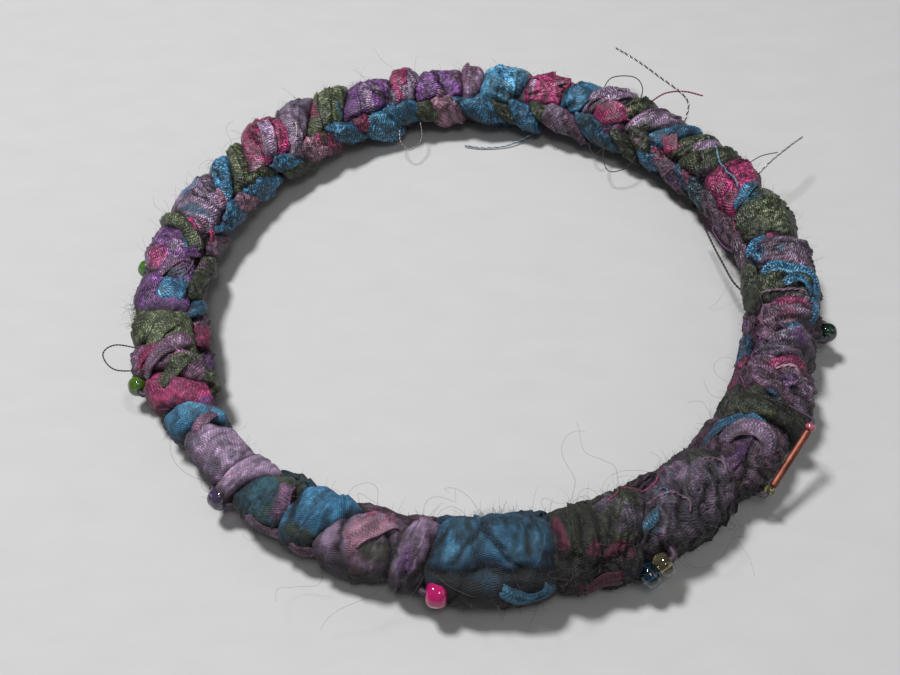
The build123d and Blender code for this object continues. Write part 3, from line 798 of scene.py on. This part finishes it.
# ---- Strips of ribbon that cross over the turns ----
# dye, accent, width, thickness, lift, and the way: azimuth and angle round the section
STRIPS = [
    ("pink", "lilac", 1.9, 0.8, 0.1, [(249, 50), (252, 90), (255.8, 125)]),
    ("mauve", "lilac", 1.7, 0.9, 0.2, [(201.6, 14), (200, 60), (198, 100), (196.6, 140)]),
    ("magenta", "pink", 1.3, 0.7, 0.15, [(199, 20), (197.8, 62), (195.8, 96)]),
    ("mauve", "violet", 1.3, 0.7, 0.1, [(180.6, 60), (177.4, 100), (174.6, 140)]),
    ("magenta", "pink", 1.9, 0.9, 0.2, [(107.2, 108), (105.6, 70), (103.6, 28)]),
    ("lilac", "mauve", 1.4, 0.8, 0.1, [(106.2, 20), (104.2, 70), (102.8, 120)]),
    ("magenta", "pink", 1.6, 0.9, 0.15, [(78.4, 60), (74, 92), (70.4, 130)]),
    ("pink", "magenta", 1, 0.7, 0.1, [(76, 120), (73.2, 96), (70, 60)]),
    ("olive", "moss", 1.5, 0.9, 0.1, [(205.4, 40), (203.4, 84), (201.2, 124)]),
    ("moss", "olive", 1.8, 0.9, 0.2, [(197.6, 50), (193.8, 86), (190.6, 122)]),
    ("mauve", "pink", 1.2, 0.8, 0.15, [(216.8, 50), (215.4, 90), (214.4, 130)]),
    ("mauve", "violet", 1.3, 0.8, 0.15, [(238.4, 50), (237, 84), (235.4, 120)]),
    ("sky", "blue", 1.15, 0.6, 0.35, [(271.6, 30), (273, 23), (275.6, 15), (278.4, 19), (279.8, 31)]),
    ("blue", "teal", 1.6, 0.6, 0.05, [(270.6, 126), (271.6, 138), (273.6, 142), (276, 136)]),
    ("magenta", "mauve", 1.8, 0.6, 0.1, [(282.4, 10), (286.2, 6), (290.6, 12)]),
    ("sky", "grey", 0.9, 0.5, 0.1, [(299.6, 84), (297.6, 74), (295.2, 66), (293.4, 58)]),
    ("grey", "lilac", 1.1, 0.6, 0.1, [(306.4, 60), (304.6, 48), (303.2, 38)]),
    ("grey", "lilac", 1.3, 0.7, 0.12, [(308.6, 104), (306, 92), (304.6, 76), (305.4, 62)]),
    ("blue", "teal", 1.2, 0.6, 0.15, [(313.2, 150), (317.6, 135), (321.2, 121), (323.4, 106), (324, 88),
      (323.2, 72)]),
    ("lilac", "mauve", 1.5, 0.8, 0.2, [(315.4, 118), (318.2, 108), (320.4, 95), (321.5, 78), (320.4, 58),
      (317.6, 42)]),
    ("violet", "mauve", 1, 0.6, 0.1, [(318.6, 84), (316.4, 78), (314, 76), (311.8, 82)]),
    ("blue", "sky", 1.3, 0.7, 0.1, [(10.8, 106), (9.6, 120), (7.8, 137), (4.6, 149)]),
    ("blue", "sky", 1.2, 0.7, 0.1, [(10.4, 138), (8.6, 149), (6, 160), (4.4, 168)]),
    ("magenta", "pink", 1, 0.5, 0.1, [(8.8, 114), (9.9, 98), (10.6, 80)]),
    ("blue", "sky", 1.25, 0.75, 0.22, [(358.2, 134), (359.8, 118), (360.2, 100), (359.2, 74), (357.2, 52),
      (354.6, 46), (351.4, 55), (347.6, 62)]),
    ("blue", "sky", 1, 0.6, 0.2, [(355, 112), (355.3, 100), (356.2, 82), (354.6, 64), (353.4, 54)]),
    ("blue", "teal", 0.9, 0.5, 0.12, [(347.4, 60), (345.4, 84), (343.4, 102)]),
    ("magenta", "mauve", 1.1, 0.6, 0.08, [(352.4, 132), (350.9, 106), (350.2, 78)]),
    ("magenta", "pink", 1.2, 0.6, 0.1, [(334.2, 114), (336.8, 92), (337.6, 72), (335.8, 54)]),
    ("violet", "mauve", 1.7, 0.7, 0.1, [(332, 92), (333.4, 76), (334, 58)]),
    ("blue", "teal", 0.9, 0.5, 0.1, [(331.2, 106), (330, 92), (330.2, 74)]),
    ("mauve", "pink", 1.3, 0.6, 0.1, [(346.8, 152), (343.6, 128), (342.6, 110)]),
    ("mauve", "lilac", 1.2, 0.5, 0.12, [(239.4, 12), (236.6, 6), (233.6, 10), (231.4, 28)]),
    ("mauve", "dark", 1.1, 0.5, 0.12, [(245.6, 10), (242.4, 2), (239.4, 8)]),
    ("lilac", "mauve", 1.4, 0.9, 0.42, [(136.6, 58), (138, 86), (139.8, 108), (142.8, 137)]),
    ("magenta", "mauve", 1.3, 0.8, 0.35, [(134.4, 66), (135.4, 96), (137.2, 122), (139.6, 144)]),
    ("magenta", "pink", 1, 0.8, 0.45, [(165.4, 82), (166.8, 104), (168.8, 127)]),
    ("magenta", "pink", 0.7, 0.7, 0.55, [(165.8, 134), (167.8, 152), (170.6, 178)]),
    ("mauve", "olive", 1.2, 0.7, 0.35, [(164.6, 100), (166.6, 122), (168, 140)]),
    ("pink", "mauve", 1.3, 0.8, 0.15, [(155.4, 108), (157.8, 125), (160.8, 147)]),
    ("blue", "sky", 2.3, 0.9, 0.15, [(187.4, 88), (185, 97), (182.4, 106), (180.2, 112)]),
    ("blue", "sky", 0.7, 0.6, 0.25, [(187.8, 112), (184.6, 121), (181.4, 122), (179.6, 116)]),
    ("violet", "mauve", 1.3, 0.7, 0.12, [(176.8, 100), (174, 124), (171.4, 146)]),
    ("magenta", "pink", 2.7, 1.5, 0.35, [(62.2, 146), (59.6, 135), (57, 122), (54.8, 108)]),
    ("lilac", "mauve", 1.6, 0.8, 0.15, [(63, 118), (62.2, 96), (60.4, 74), (58.6, 50)]),
    ("lilac", "mauve", 1.5, 0.8, 0.12, [(61, 114), (59.8, 98), (57.8, 78), (56.4, 54)]),
    ("magenta", "pink", 2, 1, 0.38, [(44.4, 110), (42.4, 123), (40.2, 143)]),
    ("lilac", "grey", 2.1, 0.8, 0.32, [(37.8, 114), (36.8, 94), (36, 74), (35.4, 50), (35, 30)]),
    ("blue", "teal", 1, 0.7, 0.32, [(18.6, 136), (20.2, 113), (21.8, 90), (22.6, 72), (22.2, 52)]),
]


def through(points, spacing):
    """A smooth line through points, evenly spaced, with its start and end exact."""
    p = np.asarray(points, float)
    ends = np.vstack([2 * p[0] - p[1], p, 2 * p[-1] - p[-2]])
    s = np.linspace(0, 1, 24, endpoint=False)[:, None]
    out = []
    for a, b, c, d in zip(ends, ends[1:], ends[2:], ends[3:]):
        out.append(0.5 * (2 * b + (c - a) * s + (2 * a - 5 * b + 4 * c - d) * s ** 2
                          + (3 * b - a - 3 * c + d) * s ** 3))
    line = np.vstack(out + [p[-1:]])
    run = np.concatenate([[0], np.cumsum(np.linalg.norm(np.diff(line, axis=0), axis=1))])
    even = np.linspace(0, run[-1], max(8, int(run[-1] / spacing)))
    return np.stack([np.interp(even, run, line[:, k]) for k in range(p.shape[1])], -1), run[-1]


def surface_line(way, radius, spacing, reach):
    """A way over the turns: its azimuths, angles round the section, distances along it, length and
    the smoothed radius of the surface below it."""
    line, length = through([(a * MM_PER_DEGREE, math.radians(v) * radius) for a, v in way], spacing)
    azimuth, around = line[:, 0] / MM_PER_DEGREE, np.degrees(line[:, 1] / radius)
    seat = np.pad(surface_radius(azimuth, around), reach, mode="edge")
    seat = np.convolve(seat, np.ones(2 * reach + 1) / (2 * reach + 1), "valid")
    return azimuth, around, np.linspace(0, length, len(azimuth)), length, seat


STRIP_STEP, STRIP_ROWS = 0.13, 30
DIVE_DEPTH = 1.3


def strip(number, dye, accent, width, thickness, lift, way):
    """A narrow strip of ribbon that lies on the turns and dives between them at both ends."""
    rng = np.random.default_rng(4000 + number)
    radius = float(band_radius(way[len(way) // 2][0]))
    azimuth, around, s, length, seat = surface_line(way, radius, STRIP_STEP, 6)
    dive = np.exp(-np.minimum(s, length - s) / 0.55)
    seat = seat + lift - 0.05 - DIVE_DEPTH * dive
    centre = on_band(azimuth, around, seat)
    normal = on_band(azimuth, around, seat + 1) - centre
    side = unit(np.cross(unit(np.gradient(centre, axis=0)), normal))
    theta = np.linspace(0, 2 * math.pi, STRIP_ROWS, endpoint=False)
    sv, tv = np.meshgrid(s, theta, indexing="ij")
    half = 0.62 * width * (1 + 0.30 * noise(sv * 0.5, number * 3.3, 0, 81)) * (1 - 0.35 * dive[:, None])
    c, q = np.cos(tv), np.sin(tv)
    x = np.sign(c) * np.abs(c) ** 0.8
    up = np.where(q > 0, np.abs(q) ** 0.7, -1.5 * np.abs(q)) * thickness * 0.26
    wander = 0.25 * noise(sv * 0.45, number * 5.1, 0.3, 82)
    for line_at in (-0.35 + 0.2 * rng.uniform(-1, 1), 0.4 + 0.2 * rng.uniform(-1, 1)):
        d = x - line_at - wander
        crest = np.where(d > 0, 0.16 * np.exp(-d / 0.28), -0.05 * np.exp(d / 0.1))
        up = up + np.where(q > 0, crest, 0)
    up = up + 0.12 * fbm(sv * 0.9, x * 1.5, number * 1.9, 83, 3) * (q > 0)
    points = above_table(centre[:, None] + side[:, None] * (x * half)[..., None]
                         + normal[:, None] * up[..., None])
    uv = uv_grid(np.linspace(0, length, len(s) + 1), np.linspace(0, 2.2 * width, STRIP_ROWS + 1))
    a = np.repeat(azimuth[:, None], STRIP_ROWS, 1)
    colour = blend_dye(dye, [], a, np.degrees(tv), 4100 + number, accent, 0.25)
    # painted shade: the strip darker on its under half, and low on the band's outer side
    shade = painted_underside_shade(around, azimuth) if min(v for _, v in way) > 30 else np.full(len(around), 0.75)
    colour *= ((0.30 + 0.70 * np.clip(0.35 + q, 0, 1)) * (shade * dye_depth_and_painted_shade(azimuth))[:, None])[..., None]
    piece = grid_mesh(f"crossing_strip_{number:02d}", points, uv, colour, wrap_i=False)
    cloth(piece, FAMILY.get(dye, dye))


for number, facts in enumerate(STRIPS, start=1):
    strip(number, *facts)

# ---- Threads and fuzz ----


def across_line(path):
    """Two directions at right angles to a line at each of its points."""
    tangent = unit(np.gradient(path, axis=0))
    side = unit(np.cross(tangent, (0.31, 0.17, 0.93)))
    return side, np.cross(tangent, side)


def tube(path, radius, sides=3):
    """Rings of points round a line."""
    path = np.asarray(path, float)
    side, other = across_line(path)
    angles = np.arange(sides) * 2 * math.pi / sides
    size = np.broadcast_to(np.asarray(radius, float), (len(path),))[:, None, None]
    ring = side[:, None] * np.cos(angles)[None, :, None] + other[:, None] * np.sin(angles)[None, :, None]
    return path[:, None] + ring * size


def tube_mesh(name, tubes, fibre):
    """One piece of many closed tubes of a fibre."""
    points, faces, start = [], [], 0
    for rings in tubes:
        n, m = rings.shape[:2]
        points.append(rings.reshape(-1, 3))
        i, j = np.meshgrid(np.arange(n - 1), np.arange(m), indexing="ij")
        k = (j + 1) % m
        quads = np.stack([i * m + j, i * m + k, (i + 1) * m + k, (i + 1) * m + j], -1)
        faces += (quads.reshape(-1, 4) + start).tolist()
        faces.append((start + np.arange(m)[::-1]).tolist())
        faces.append((start + (n - 1) * m + np.arange(m)).tolist())
        start += n * m
    mesh = bpy.data.meshes.new(name)
    mesh.from_pydata((np.vstack(points) * MM).tolist(), [], faces)
    mesh.materials.append(FIBRES[fibre])
    piece = add_piece(name, mesh)
    return piece


def fibre_material(name, colour, metal=0.0, roughness=0.5, spread=0.35):
    """Fine thread: its tone changes along it."""
    def make(m):
        tone = mapped(m, object_noise(m, 650, 3).outputs["Fac"], 1 - spread, 1 + spread, 0.3, 0.7)
        return {"Base Color": scaled_colour(m, colour, tone), "Roughness": roughness, "Metallic": metal}
    return finish_material(name, make)


FIBRE_DYES = {
    "violet": (0.10, 0.035, 0.11), "magenta": (0.24, 0.035, 0.10), "mauve": (0.14, 0.085, 0.13),
    "dark": (0.02, 0.014, 0.018), "blue": (0.04, 0.14, 0.24), "olive": (0.07, 0.08, 0.04),
    "sky": (0.11, 0.24, 0.33), "pale": (0.42, 0.36, 0.33), "tan": (0.30, 0.16, 0.10),
    "pale_pink": (0.34, 0.20, 0.26),
}
FIBRES = {name: fibre_material("fibre_" + name, colour) for name, colour in FIBRE_DYES.items()}
FIBRES["silver"] = fibre_material("fibre_silver", (0.45, 0.44, 0.46), metal=0.5, roughness=0.3)
ABOVE_TABLE_MM = 0.06
YARN_STEP, THREAD_STEP, PLY_SIDES = 0.08, 0.12, 6
WISP_STEPS = 26


def curl(rng, start, heading, length, bend, steps=9):
    """A springy line of a given length that keeps turning as it goes."""
    heading = heading / np.linalg.norm(heading)
    axis = rng.normal(size=3)
    axis /= np.linalg.norm(axis)
    points, here = [start], np.array(start, float)
    for _ in range(steps):
        axis = axis + 0.25 * rng.normal(size=3)
        axis /= np.linalg.norm(axis)
        heading = heading * math.cos(bend / steps) + np.cross(axis, heading) * math.sin(bend / steps)
        heading /= np.linalg.norm(heading)
        here = here + heading * length / steps
        here[2] = max(here[2], ABOVE_TABLE_MM)
        points.append(here.copy())
    return np.array(points)


BEADS = [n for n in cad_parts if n.endswith("_bead")]
BEAD_CENTRES = [np.array((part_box(n)[0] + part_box(n)[1]) / 2 / MM) for n in BEADS]
BEAD_CLEARANCE = 1.7
ROOT_DEPTH = 0.4
LOWEST_ROOT = 0.3


def fuzz(name, fibre, count, seed, places, length, thickness):
    """Short frayed fibres that stand out of the ribbon."""
    rng = np.random.default_rng(seed)
    tubes = []
    for _ in range(count):
        (a0, a1), (v0, v1) = places[rng.integers(len(places))]
        azimuth, around = rng.uniform(a0, a1), rng.uniform(v0, v1)
        base = float(surface_radius(azimuth, around))
        root = on_band(azimuth, around, base - ROOT_DEPTH)
        if root[2] < LOWEST_ROOT:
            continue
        out = on_band(azimuth, around, base + 0.5) - root
        heading = out + 1.3 * rng.normal(size=3)
        size = length * (0.35 + rng.exponential(0.65))
        line = curl(rng, root, heading, min(size, 4 * length) + 0.5, rng.uniform(0.5, 3.0))
        if min(np.linalg.norm(line - bead, axis=1).min() for bead in BEAD_CENTRES) < BEAD_CLEARANCE:
            continue  # nothing stands in the way of a bead that turns
        tubes.append(tube(line, np.linspace(1, 0.5, len(line)) * thickness))
    tube_mesh(name, tubes, fibre)


# Stretches of the band: azimuths and angles round the section, each from and to
ALL_ROUND = [((0, 360), (-35, 215))]
FUZZY_RIGHT = [((-75, 30), (15, 200))]
INNER_RIGHT = [((-60, 40), (115, 200))]
OUTER_BACK = [((40, 175), (-20, 70))]
INNER_FRONT = [((250, 318), (110, 165))]
FRONT = [((255, 318), (0, 160))]
# name, fibre, count, seed, where, length, thickness
FUZZ = [
    ("fuzz_violet", "violet", 1900, 1, ALL_ROUND + INNER_RIGHT * 2 + FUZZY_RIGHT, 0.8, 0.016),
    ("fuzz_magenta", "magenta", 800, 2, ALL_ROUND + INNER_RIGHT * 2, 0.8, 0.016),
    ("fuzz_mauve", "mauve", 2600, 3, ALL_ROUND + FRONT + FUZZY_RIGHT * 2, 0.8, 0.014),
    ("fuzz_dark", "dark", 1800, 4, ALL_ROUND + OUTER_BACK + FRONT + INNER_FRONT + FUZZY_RIGHT, 0.9, 0.016),
    ("fuzz_blue", "blue", 700, 5, ALL_ROUND + [((262, 281), (60, 150))], 0.7, 0.015),
    ("fuzz_blue_tuft", "blue", 320, 7, [((270.4, 275.6), (112, 146))], 0.62, 0.014),
    ("fuzz_olive_tuft", "olive", 420, 8, [((185.0, 189.4), (4, 44))], 0.75, 0.017),
    ("fuzz_olive", "olive", 900, 6, ALL_ROUND + FRONT * 2, 0.7, 0.015),
]
for row in FUZZ:
    fuzz(*row)


def wisps(name, fibre, count, seed, azimuths, arounds, lengths, thickness):
    """Long springy single fibres that wander away from the ribbon."""
    rng = np.random.default_rng(seed)
    tubes = []
    for _ in range(count):
        azimuth, around = rng.uniform(*azimuths), rng.uniform(*arounds)
        root = on_band(azimuth, around, float(surface_radius(azimuth, around)) - ROOT_DEPTH)
        out = on_band(azimuth, around, 10) - on_band(azimuth, around, 9)
        heading = out + 0.5 * rng.normal(size=3)
        line = curl(rng, root, heading, rng.uniform(*lengths), rng.uniform(2.5, 8.0), steps=WISP_STEPS)
        tubes.append(tube(line, np.linspace(1, 0.7, len(line)) * thickness))
    tube_mesh(name, tubes, fibre)


# name, fibre, count, seed, azimuths, angles round the section, lengths, thickness
WISPS = [
    ("wisps_front", "dark", 18, 21, (222, 318), (0, 30), (4, 12), 0.015),
    ("wisps_front_pale", "mauve", 16, 22, (222, 320), (0, 40), (3, 9), 0.014),
    ("wisps_inside_front", "violet", 26, 23, (245, 325), (120, 160), (4, 12), 0.016),
    ("wisps_inside_right", "violet", 30, 24, (-45, 35), (130, 185), (3, 9), 0.016),
    ("wisps_back", "dark", 22, 25, (40, 215), (0, 60), (2, 6), 0.015),
    ("wisps_inside_back", "violet", 22, 26, (20, 160), (150, 195), (3, 7), 0.016),
]
for row in WISPS:
    wisps(*row)


# Single yarns pulled out of the ribbon, lying on it: fibre, thickness, and the way as for the strips
SURFACE_YARNS = [
    ("tan", 0.2, [(3.4, 178), (4.8, 165), (3.8, 155), (2.4, 142), (1.2, 130)]),
    ("mauve", 0.3, [(346.8, 140), (349.6, 147), (352.2, 146), (353.7, 134), (353.7, 109), (354.2, 84),
      (353.2, 60)]),
    ("mauve", 0.34, [(345, 132), (348, 138), (350.4, 132), (349.4, 120)]),
    ("pale_pink", 0.3, [(334.2, 106), (334.9, 97), (336.1, 80), (335.4, 60)]),
    ("magenta", 0.24, [(18.4, 139), (15, 142), (12.4, 150), (9.4, 161), (6.6, 168)]),
    ("sky", 0.22, [(38.6, 60), (35.6, 76), (31.6, 92), (28.2, 100), (25, 101), (22.6, 103)]),
    ("pale", 0.2, [(132.6, 98), (132.8, 116), (135.2, 136), (139, 154)]),
    ("dark", 0.14, [(75.6, 124), (73.2, 106), (69.2, 78)]),
    ("magenta", 0.2, [(26, 150), (22, 162), (16, 168), (9, 172)]),
    ("violet", 0.22, [(330.6, 150), (335, 158), (340, 156), (345, 160)]),
    ("mauve", 0.24, [(297, 100), (301, 90), (303, 70), (301.6, 50)]),
    ("mauve", 0.26, [(309, 110), (312.4, 92), (311, 66)]),
    ("blue", 0.18, [(298.8, 112), (301, 98), (299.6, 84)]),
    ("magenta", 0.16, [(290, 118), (297, 128), (305, 130)]),
    ("dark", 0.16, [(262.4, 40), (266, 26), (270, 16)]),
    ("mauve", 0.2, [(182, 110), (178, 128), (172, 134), (169, 120)]),
    ("magenta", 0.18, [(62, 96), (58, 116), (52, 124)]),
]


def surface_yarns():
    """Two-ply yarns that follow the surface and dive into it at their ends."""
    by_fibre = {}
    for fibre, thickness, way in SURFACE_YARNS:
        azimuth, around, s, length, seat = surface_line(way, float(band_radius(way[0][0])), YARN_STEP, 5)
        seat = seat + 0.35 * thickness - 0.9 * np.exp(-np.minimum(s, length - s) / 0.4)
        points = on_band(azimuth, around, seat)
        normal = on_band(azimuth, around, seat + 1) - points
        side = unit(np.cross(np.gradient(points, axis=0), normal))
        turn = (s * 2 * math.pi / (thickness * 5))[:, None]
        for k in range(2):
            angle = turn + math.pi * k
            ply = points + (side * np.cos(angle) + normal * np.sin(angle)) * thickness * 0.28
            by_fibre.setdefault(fibre, []).append(tube(ply, thickness * 0.36, PLY_SIDES))
    for fibre, tubes in by_fibre.items():
        tube_mesh(f"surface_yarns_{fibre}", tubes, fibre)


surface_yarns()

# Loose thread ends: two plies, thickness, then azimuth, distance from the ring's axis and height
LOOSE_THREADS = [
    ("dark", "dark", 0.1, [(196.6, 39.6, 6.2), (195, 42.8, 6.9), (196.2, 44.4, 6.8), (199.2, 43.4, 6.4),
      (200.6, 39.8, 6)]),
    ("dark", "silver", 0.15, [(45, 40.2, 6), (48, 43.4, 7), (55.4, 44.7, 7.6), (60.5, 46.2, 7.6),
      (65, 48.2, 7)]),
    ("magenta", "magenta", 0.13, [(53.6, 40.2, 6.2), (52, 42.6, 7), (49.6, 44.6, 7), (46.8, 46, 6.6)]),
    ("mauve", "silver", 0.14, [(26, 40.4, 6.2), (27.2, 43.2, 7), (28.6, 47.2, 7.2), (29.8, 50.2, 6.6)]),
    ("dark", "dark", 0.08, [(29.6, 40.2, 5.8), (29.2, 42.6, 6.9), (28.9, 45.4, 6.6)]),
    ("dark", "dark", 0.15, [(-4, 34, 4.2), (0.6, 31.4, 4.4), (7.8, 30.5, 4.5), (14, 30.3, 4.6),
      (20.7, 30.7, 4.6)]),
    ("violet", "violet", 0.1, [(8, 33.8, 4.6), (11.6, 31.7, 4.6), (15.6, 31.2, 4.7), (17.8, 31.2, 4.9),
      (17.9, 31.7, 5.1), (16, 32, 5.1)]),
    ("dark", "dark", 0.08, [(57, 34.2, 4), (55.6, 30.8, 3.2), (51.4, 28.8, 2.8), (48.2, 30.6, 3.2),
      (48.4, 33.8, 4.2)]),
    ("dark", "dark", 0.07, [(61, 34, 3.6), (60, 31.4, 3), (57.6, 30.6, 2.8), (56.6, 32, 3.2)]),
    ("dark", "silver", 0.08, [(107, 33.8, 4), (109.6, 30.6, 3), (108, 28.4, 2.6), (104, 30, 2.8),
      (103.2, 33.6, 4)]),
    ("blue", "silver", 0.13, [(92.4, 30.4, 0.35), (87.6, 30, 0.3), (81, 30.8, 0.4), (75.4, 33.4, 1),
      (73, 34.8, 2.2)]),
    ("dark", "dark", 0.09, [(63.4, 39.6, 5.6), (62.6, 41.6, 7), (58.8, 42.8, 7.4), (56.2, 41.8, 6.9),
      (55.4, 39.8, 5.4)]),
]


def loose_threads():
    """Each thread is two plies twisted round each other."""
    by_fibre = {}
    for first, second, thickness, places in LOOSE_THREADS:
        corners = [(*(r * side for side in cos_sin(a)), z) for a, r, z in places]
        line, length = through(corners, THREAD_STEP)
        side, other = across_line(line)
        turn = np.linspace(0, length, len(line)) * 2 * math.pi / (thickness * 7)
        for k, fibre in enumerate((first, second)):
            angle = (turn + math.pi * k)[:, None]
            ply = line + (side * np.cos(angle) + other * np.sin(angle)) * thickness * 0.42
            by_fibre.setdefault(fibre, []).append(tube(ply, thickness * 0.55, PLY_SIDES))
    for fibre, tubes in by_fibre.items():
        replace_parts(tube_mesh(f"loose_threads_{fibre}", tubes, fibre), "loose_thread_ends")


loose_threads()

# ---- Materials of the CAD parts that show ----


def glass_material(name, colour, clear=0.92):
    """Tinted glass: slightly uneven colour and surface, as in small pressed beads."""
    def make(m):
        swirl = object_noise(m, 500, Distortion=0.6).outputs["Fac"]
        return {"Base Color": scaled_colour(m, colour, mapped(m, swirl, 0.75, 1.2)),
                "Normal": bumped(m, swirl, 0.3, 0.00004), "Transmission Weight": clear, "IOR": 1.52,
                "Roughness": 0.03, "Coat Weight": 0.8, "Coat Roughness": 0.03}
    return finish_material(name, make)


def copper_material():
    """Copper tube with a little tarnish."""
    def make(m):
        tarnish = object_noise(m, 800, 4).outputs["Fac"]
        ramp = add(m, "ValToRGB", {0: tarnish})
        for stop, place, colour in zip(ramp.color_ramp.elements, (0.35, 0.62),
                                       ((0.15, 0.052, 0.036, 1), (0.33, 0.125, 0.09, 1))):
            stop.position, stop.color = place, colour
        return {"Base Color": ramp.outputs[0], "Roughness": mapped(m, tarnish, 0.48, 0.66),
                "Normal": bumped(m, tarnish, 0.3, 0.00003), "Metallic": 1.0}
    return finish_material("copper", make)


CAD_MATERIALS = {
    "purple_bead": glass_material("glass_purple", (0.40, 0.28, 0.58)),
    "magenta_bead": glass_material("glass_magenta", (0.58, 0.010, 0.16), clear=0.35),
    "pink_tip_bead": glass_material("glass_pink", (0.62, 0.14, 0.20), clear=0.5),
    "teal_bead": glass_material("glass_teal", (0.004, 0.09, 0.17)),
    "gold_bead": glass_material("glass_gold", (0.36, 0.30, 0.17)),
    "gold_tip_bead": glass_material("glass_gold_tip", (0.42, 0.38, 0.16)),
    "dark_green_bead": glass_material("glass_dark_green", (0.01, 0.09, 0.05)),
    "lime_bead": glass_material("glass_lime", (0.12, 0.26, 0.03), clear=0.6),
    "leaf_green_bead": glass_material("glass_leaf", (0.09, 0.26, 0.03), clear=0.6),
    "copper_tube": copper_material(),
    "bead_stitches": fibre_material("stitch_thread", (0.035, 0.02, 0.035), roughness=0.6),
    "core_hoop": fibre_material("hoop_plastic", (0.20, 0.18, 0.17), roughness=0.4, spread=0.1),
}
for node, material in CAD_MATERIALS.items():
    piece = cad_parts[node]
    if not piece.material_slots:
        piece.data.materials.append(material)
    for held in piece.material_slots:
        held.material = material

# ---- Floor, light, camera ----


def paper_material():
    """Plain pale paper with a faint grain."""
    def make(m):
        tone = mapped(m, add(m, "TexNoise", {"Scale": 700}).outputs["Fac"], 0.46, 0.50)
        grey = add(m, "CombineColor", {0: tone, 1: tone, 2: tone}).outputs[0]
        return {"Base Color": grey, "Roughness": 0.7, "Specular IOR Level": 0.25}
    return finish_material("floor_paper", make)


def floor():
    """A plain pale floor that rises softly behind the object."""
    size, back, curve = 1.2, 0.7, 0.35
    profile = [(-size, 0.0)] + [(back * k / 6, 0.0) for k in range(7)]
    for k in range(1, 9):
        angle = math.pi / 2 * k / 8
        profile.append((back + curve * math.sin(angle), curve * (1 - math.cos(angle))))
    profile.append((back + curve, 1.6))
    points = [(x, y, z) for y, z in profile for x in (-2.4, 2.4)]
    faces = [(2 * k, 2 * k + 1, 2 * k + 3, 2 * k + 2) for k in range(len(profile) - 1)]
    mesh = bpy.data.meshes.new("floor")
    mesh.from_pydata(points, [], faces)
    mesh.shade_smooth()
    mesh.materials.append(paper_material())
    piece = bpy.data.objects.new("floor", mesh)
    bpy.context.scene.collection.objects.link(piece)


def light(name, place, size, power):
    """A round soft light that faces the object."""
    data = bpy.data.lights.new(name, "AREA")
    data.shape = "DISK"
    data.size = size
    data.energy = power
    lamp = bpy.data.objects.new(name, data)
    lamp.location = place
    lamp.rotation_mode = "QUATERNION"
    lamp.rotation_quaternion = (-Vector(place)).to_track_quat("-Z", "Y")
    bpy.context.scene.collection.objects.link(lamp)


floor()
light("key", (-0.14, 0.06, 0.44), 0.09, 2.35)
light("front", (0.02, -0.22, 0.48), 0.14, 0.40)
light("fill", (0.36, -0.05, 0.22), 0.30, 0.15)
WORLD_STRENGTH = 0.135
world = bpy.data.worlds.new("studio")
world.use_nodes = True
background = world.node_tree.nodes["Background"]
background.inputs["Color"].default_value = (1, 1, 1, 1)
background.inputs["Strength"].default_value = WORLD_STRENGTH
bpy.context.scene.world = world

ELEVATION = math.radians(50.3)
DISTANCE = 0.147
FOCAL_LENGTH, SENSOR_WIDTH = 48, 36
TARGET = Vector((-0.00336, -0.00375, CENTRE_HEIGHT * MM - 0.0043))
back_way = Vector((0, -math.cos(ELEVATION), math.sin(ELEVATION)))
camera_data = bpy.data.cameras.new("camera")
camera_data.lens = FOCAL_LENGTH
camera_data.sensor_width = SENSOR_WIDTH
camera_data.clip_start = 0.01
camera_data.dof.use_dof = False
camera = bpy.data.objects.new("camera", camera_data)
camera.location = TARGET + back_way * DISTANCE
camera.rotation_mode = "QUATERNION"
camera.rotation_quaternion = (-back_way).to_track_quat("-Z", "Y")
bpy.context.scene.collection.objects.link(camera)
bpy.context.scene.camera = camera
bpy.context.scene.view_settings.view_transform = "Standard"
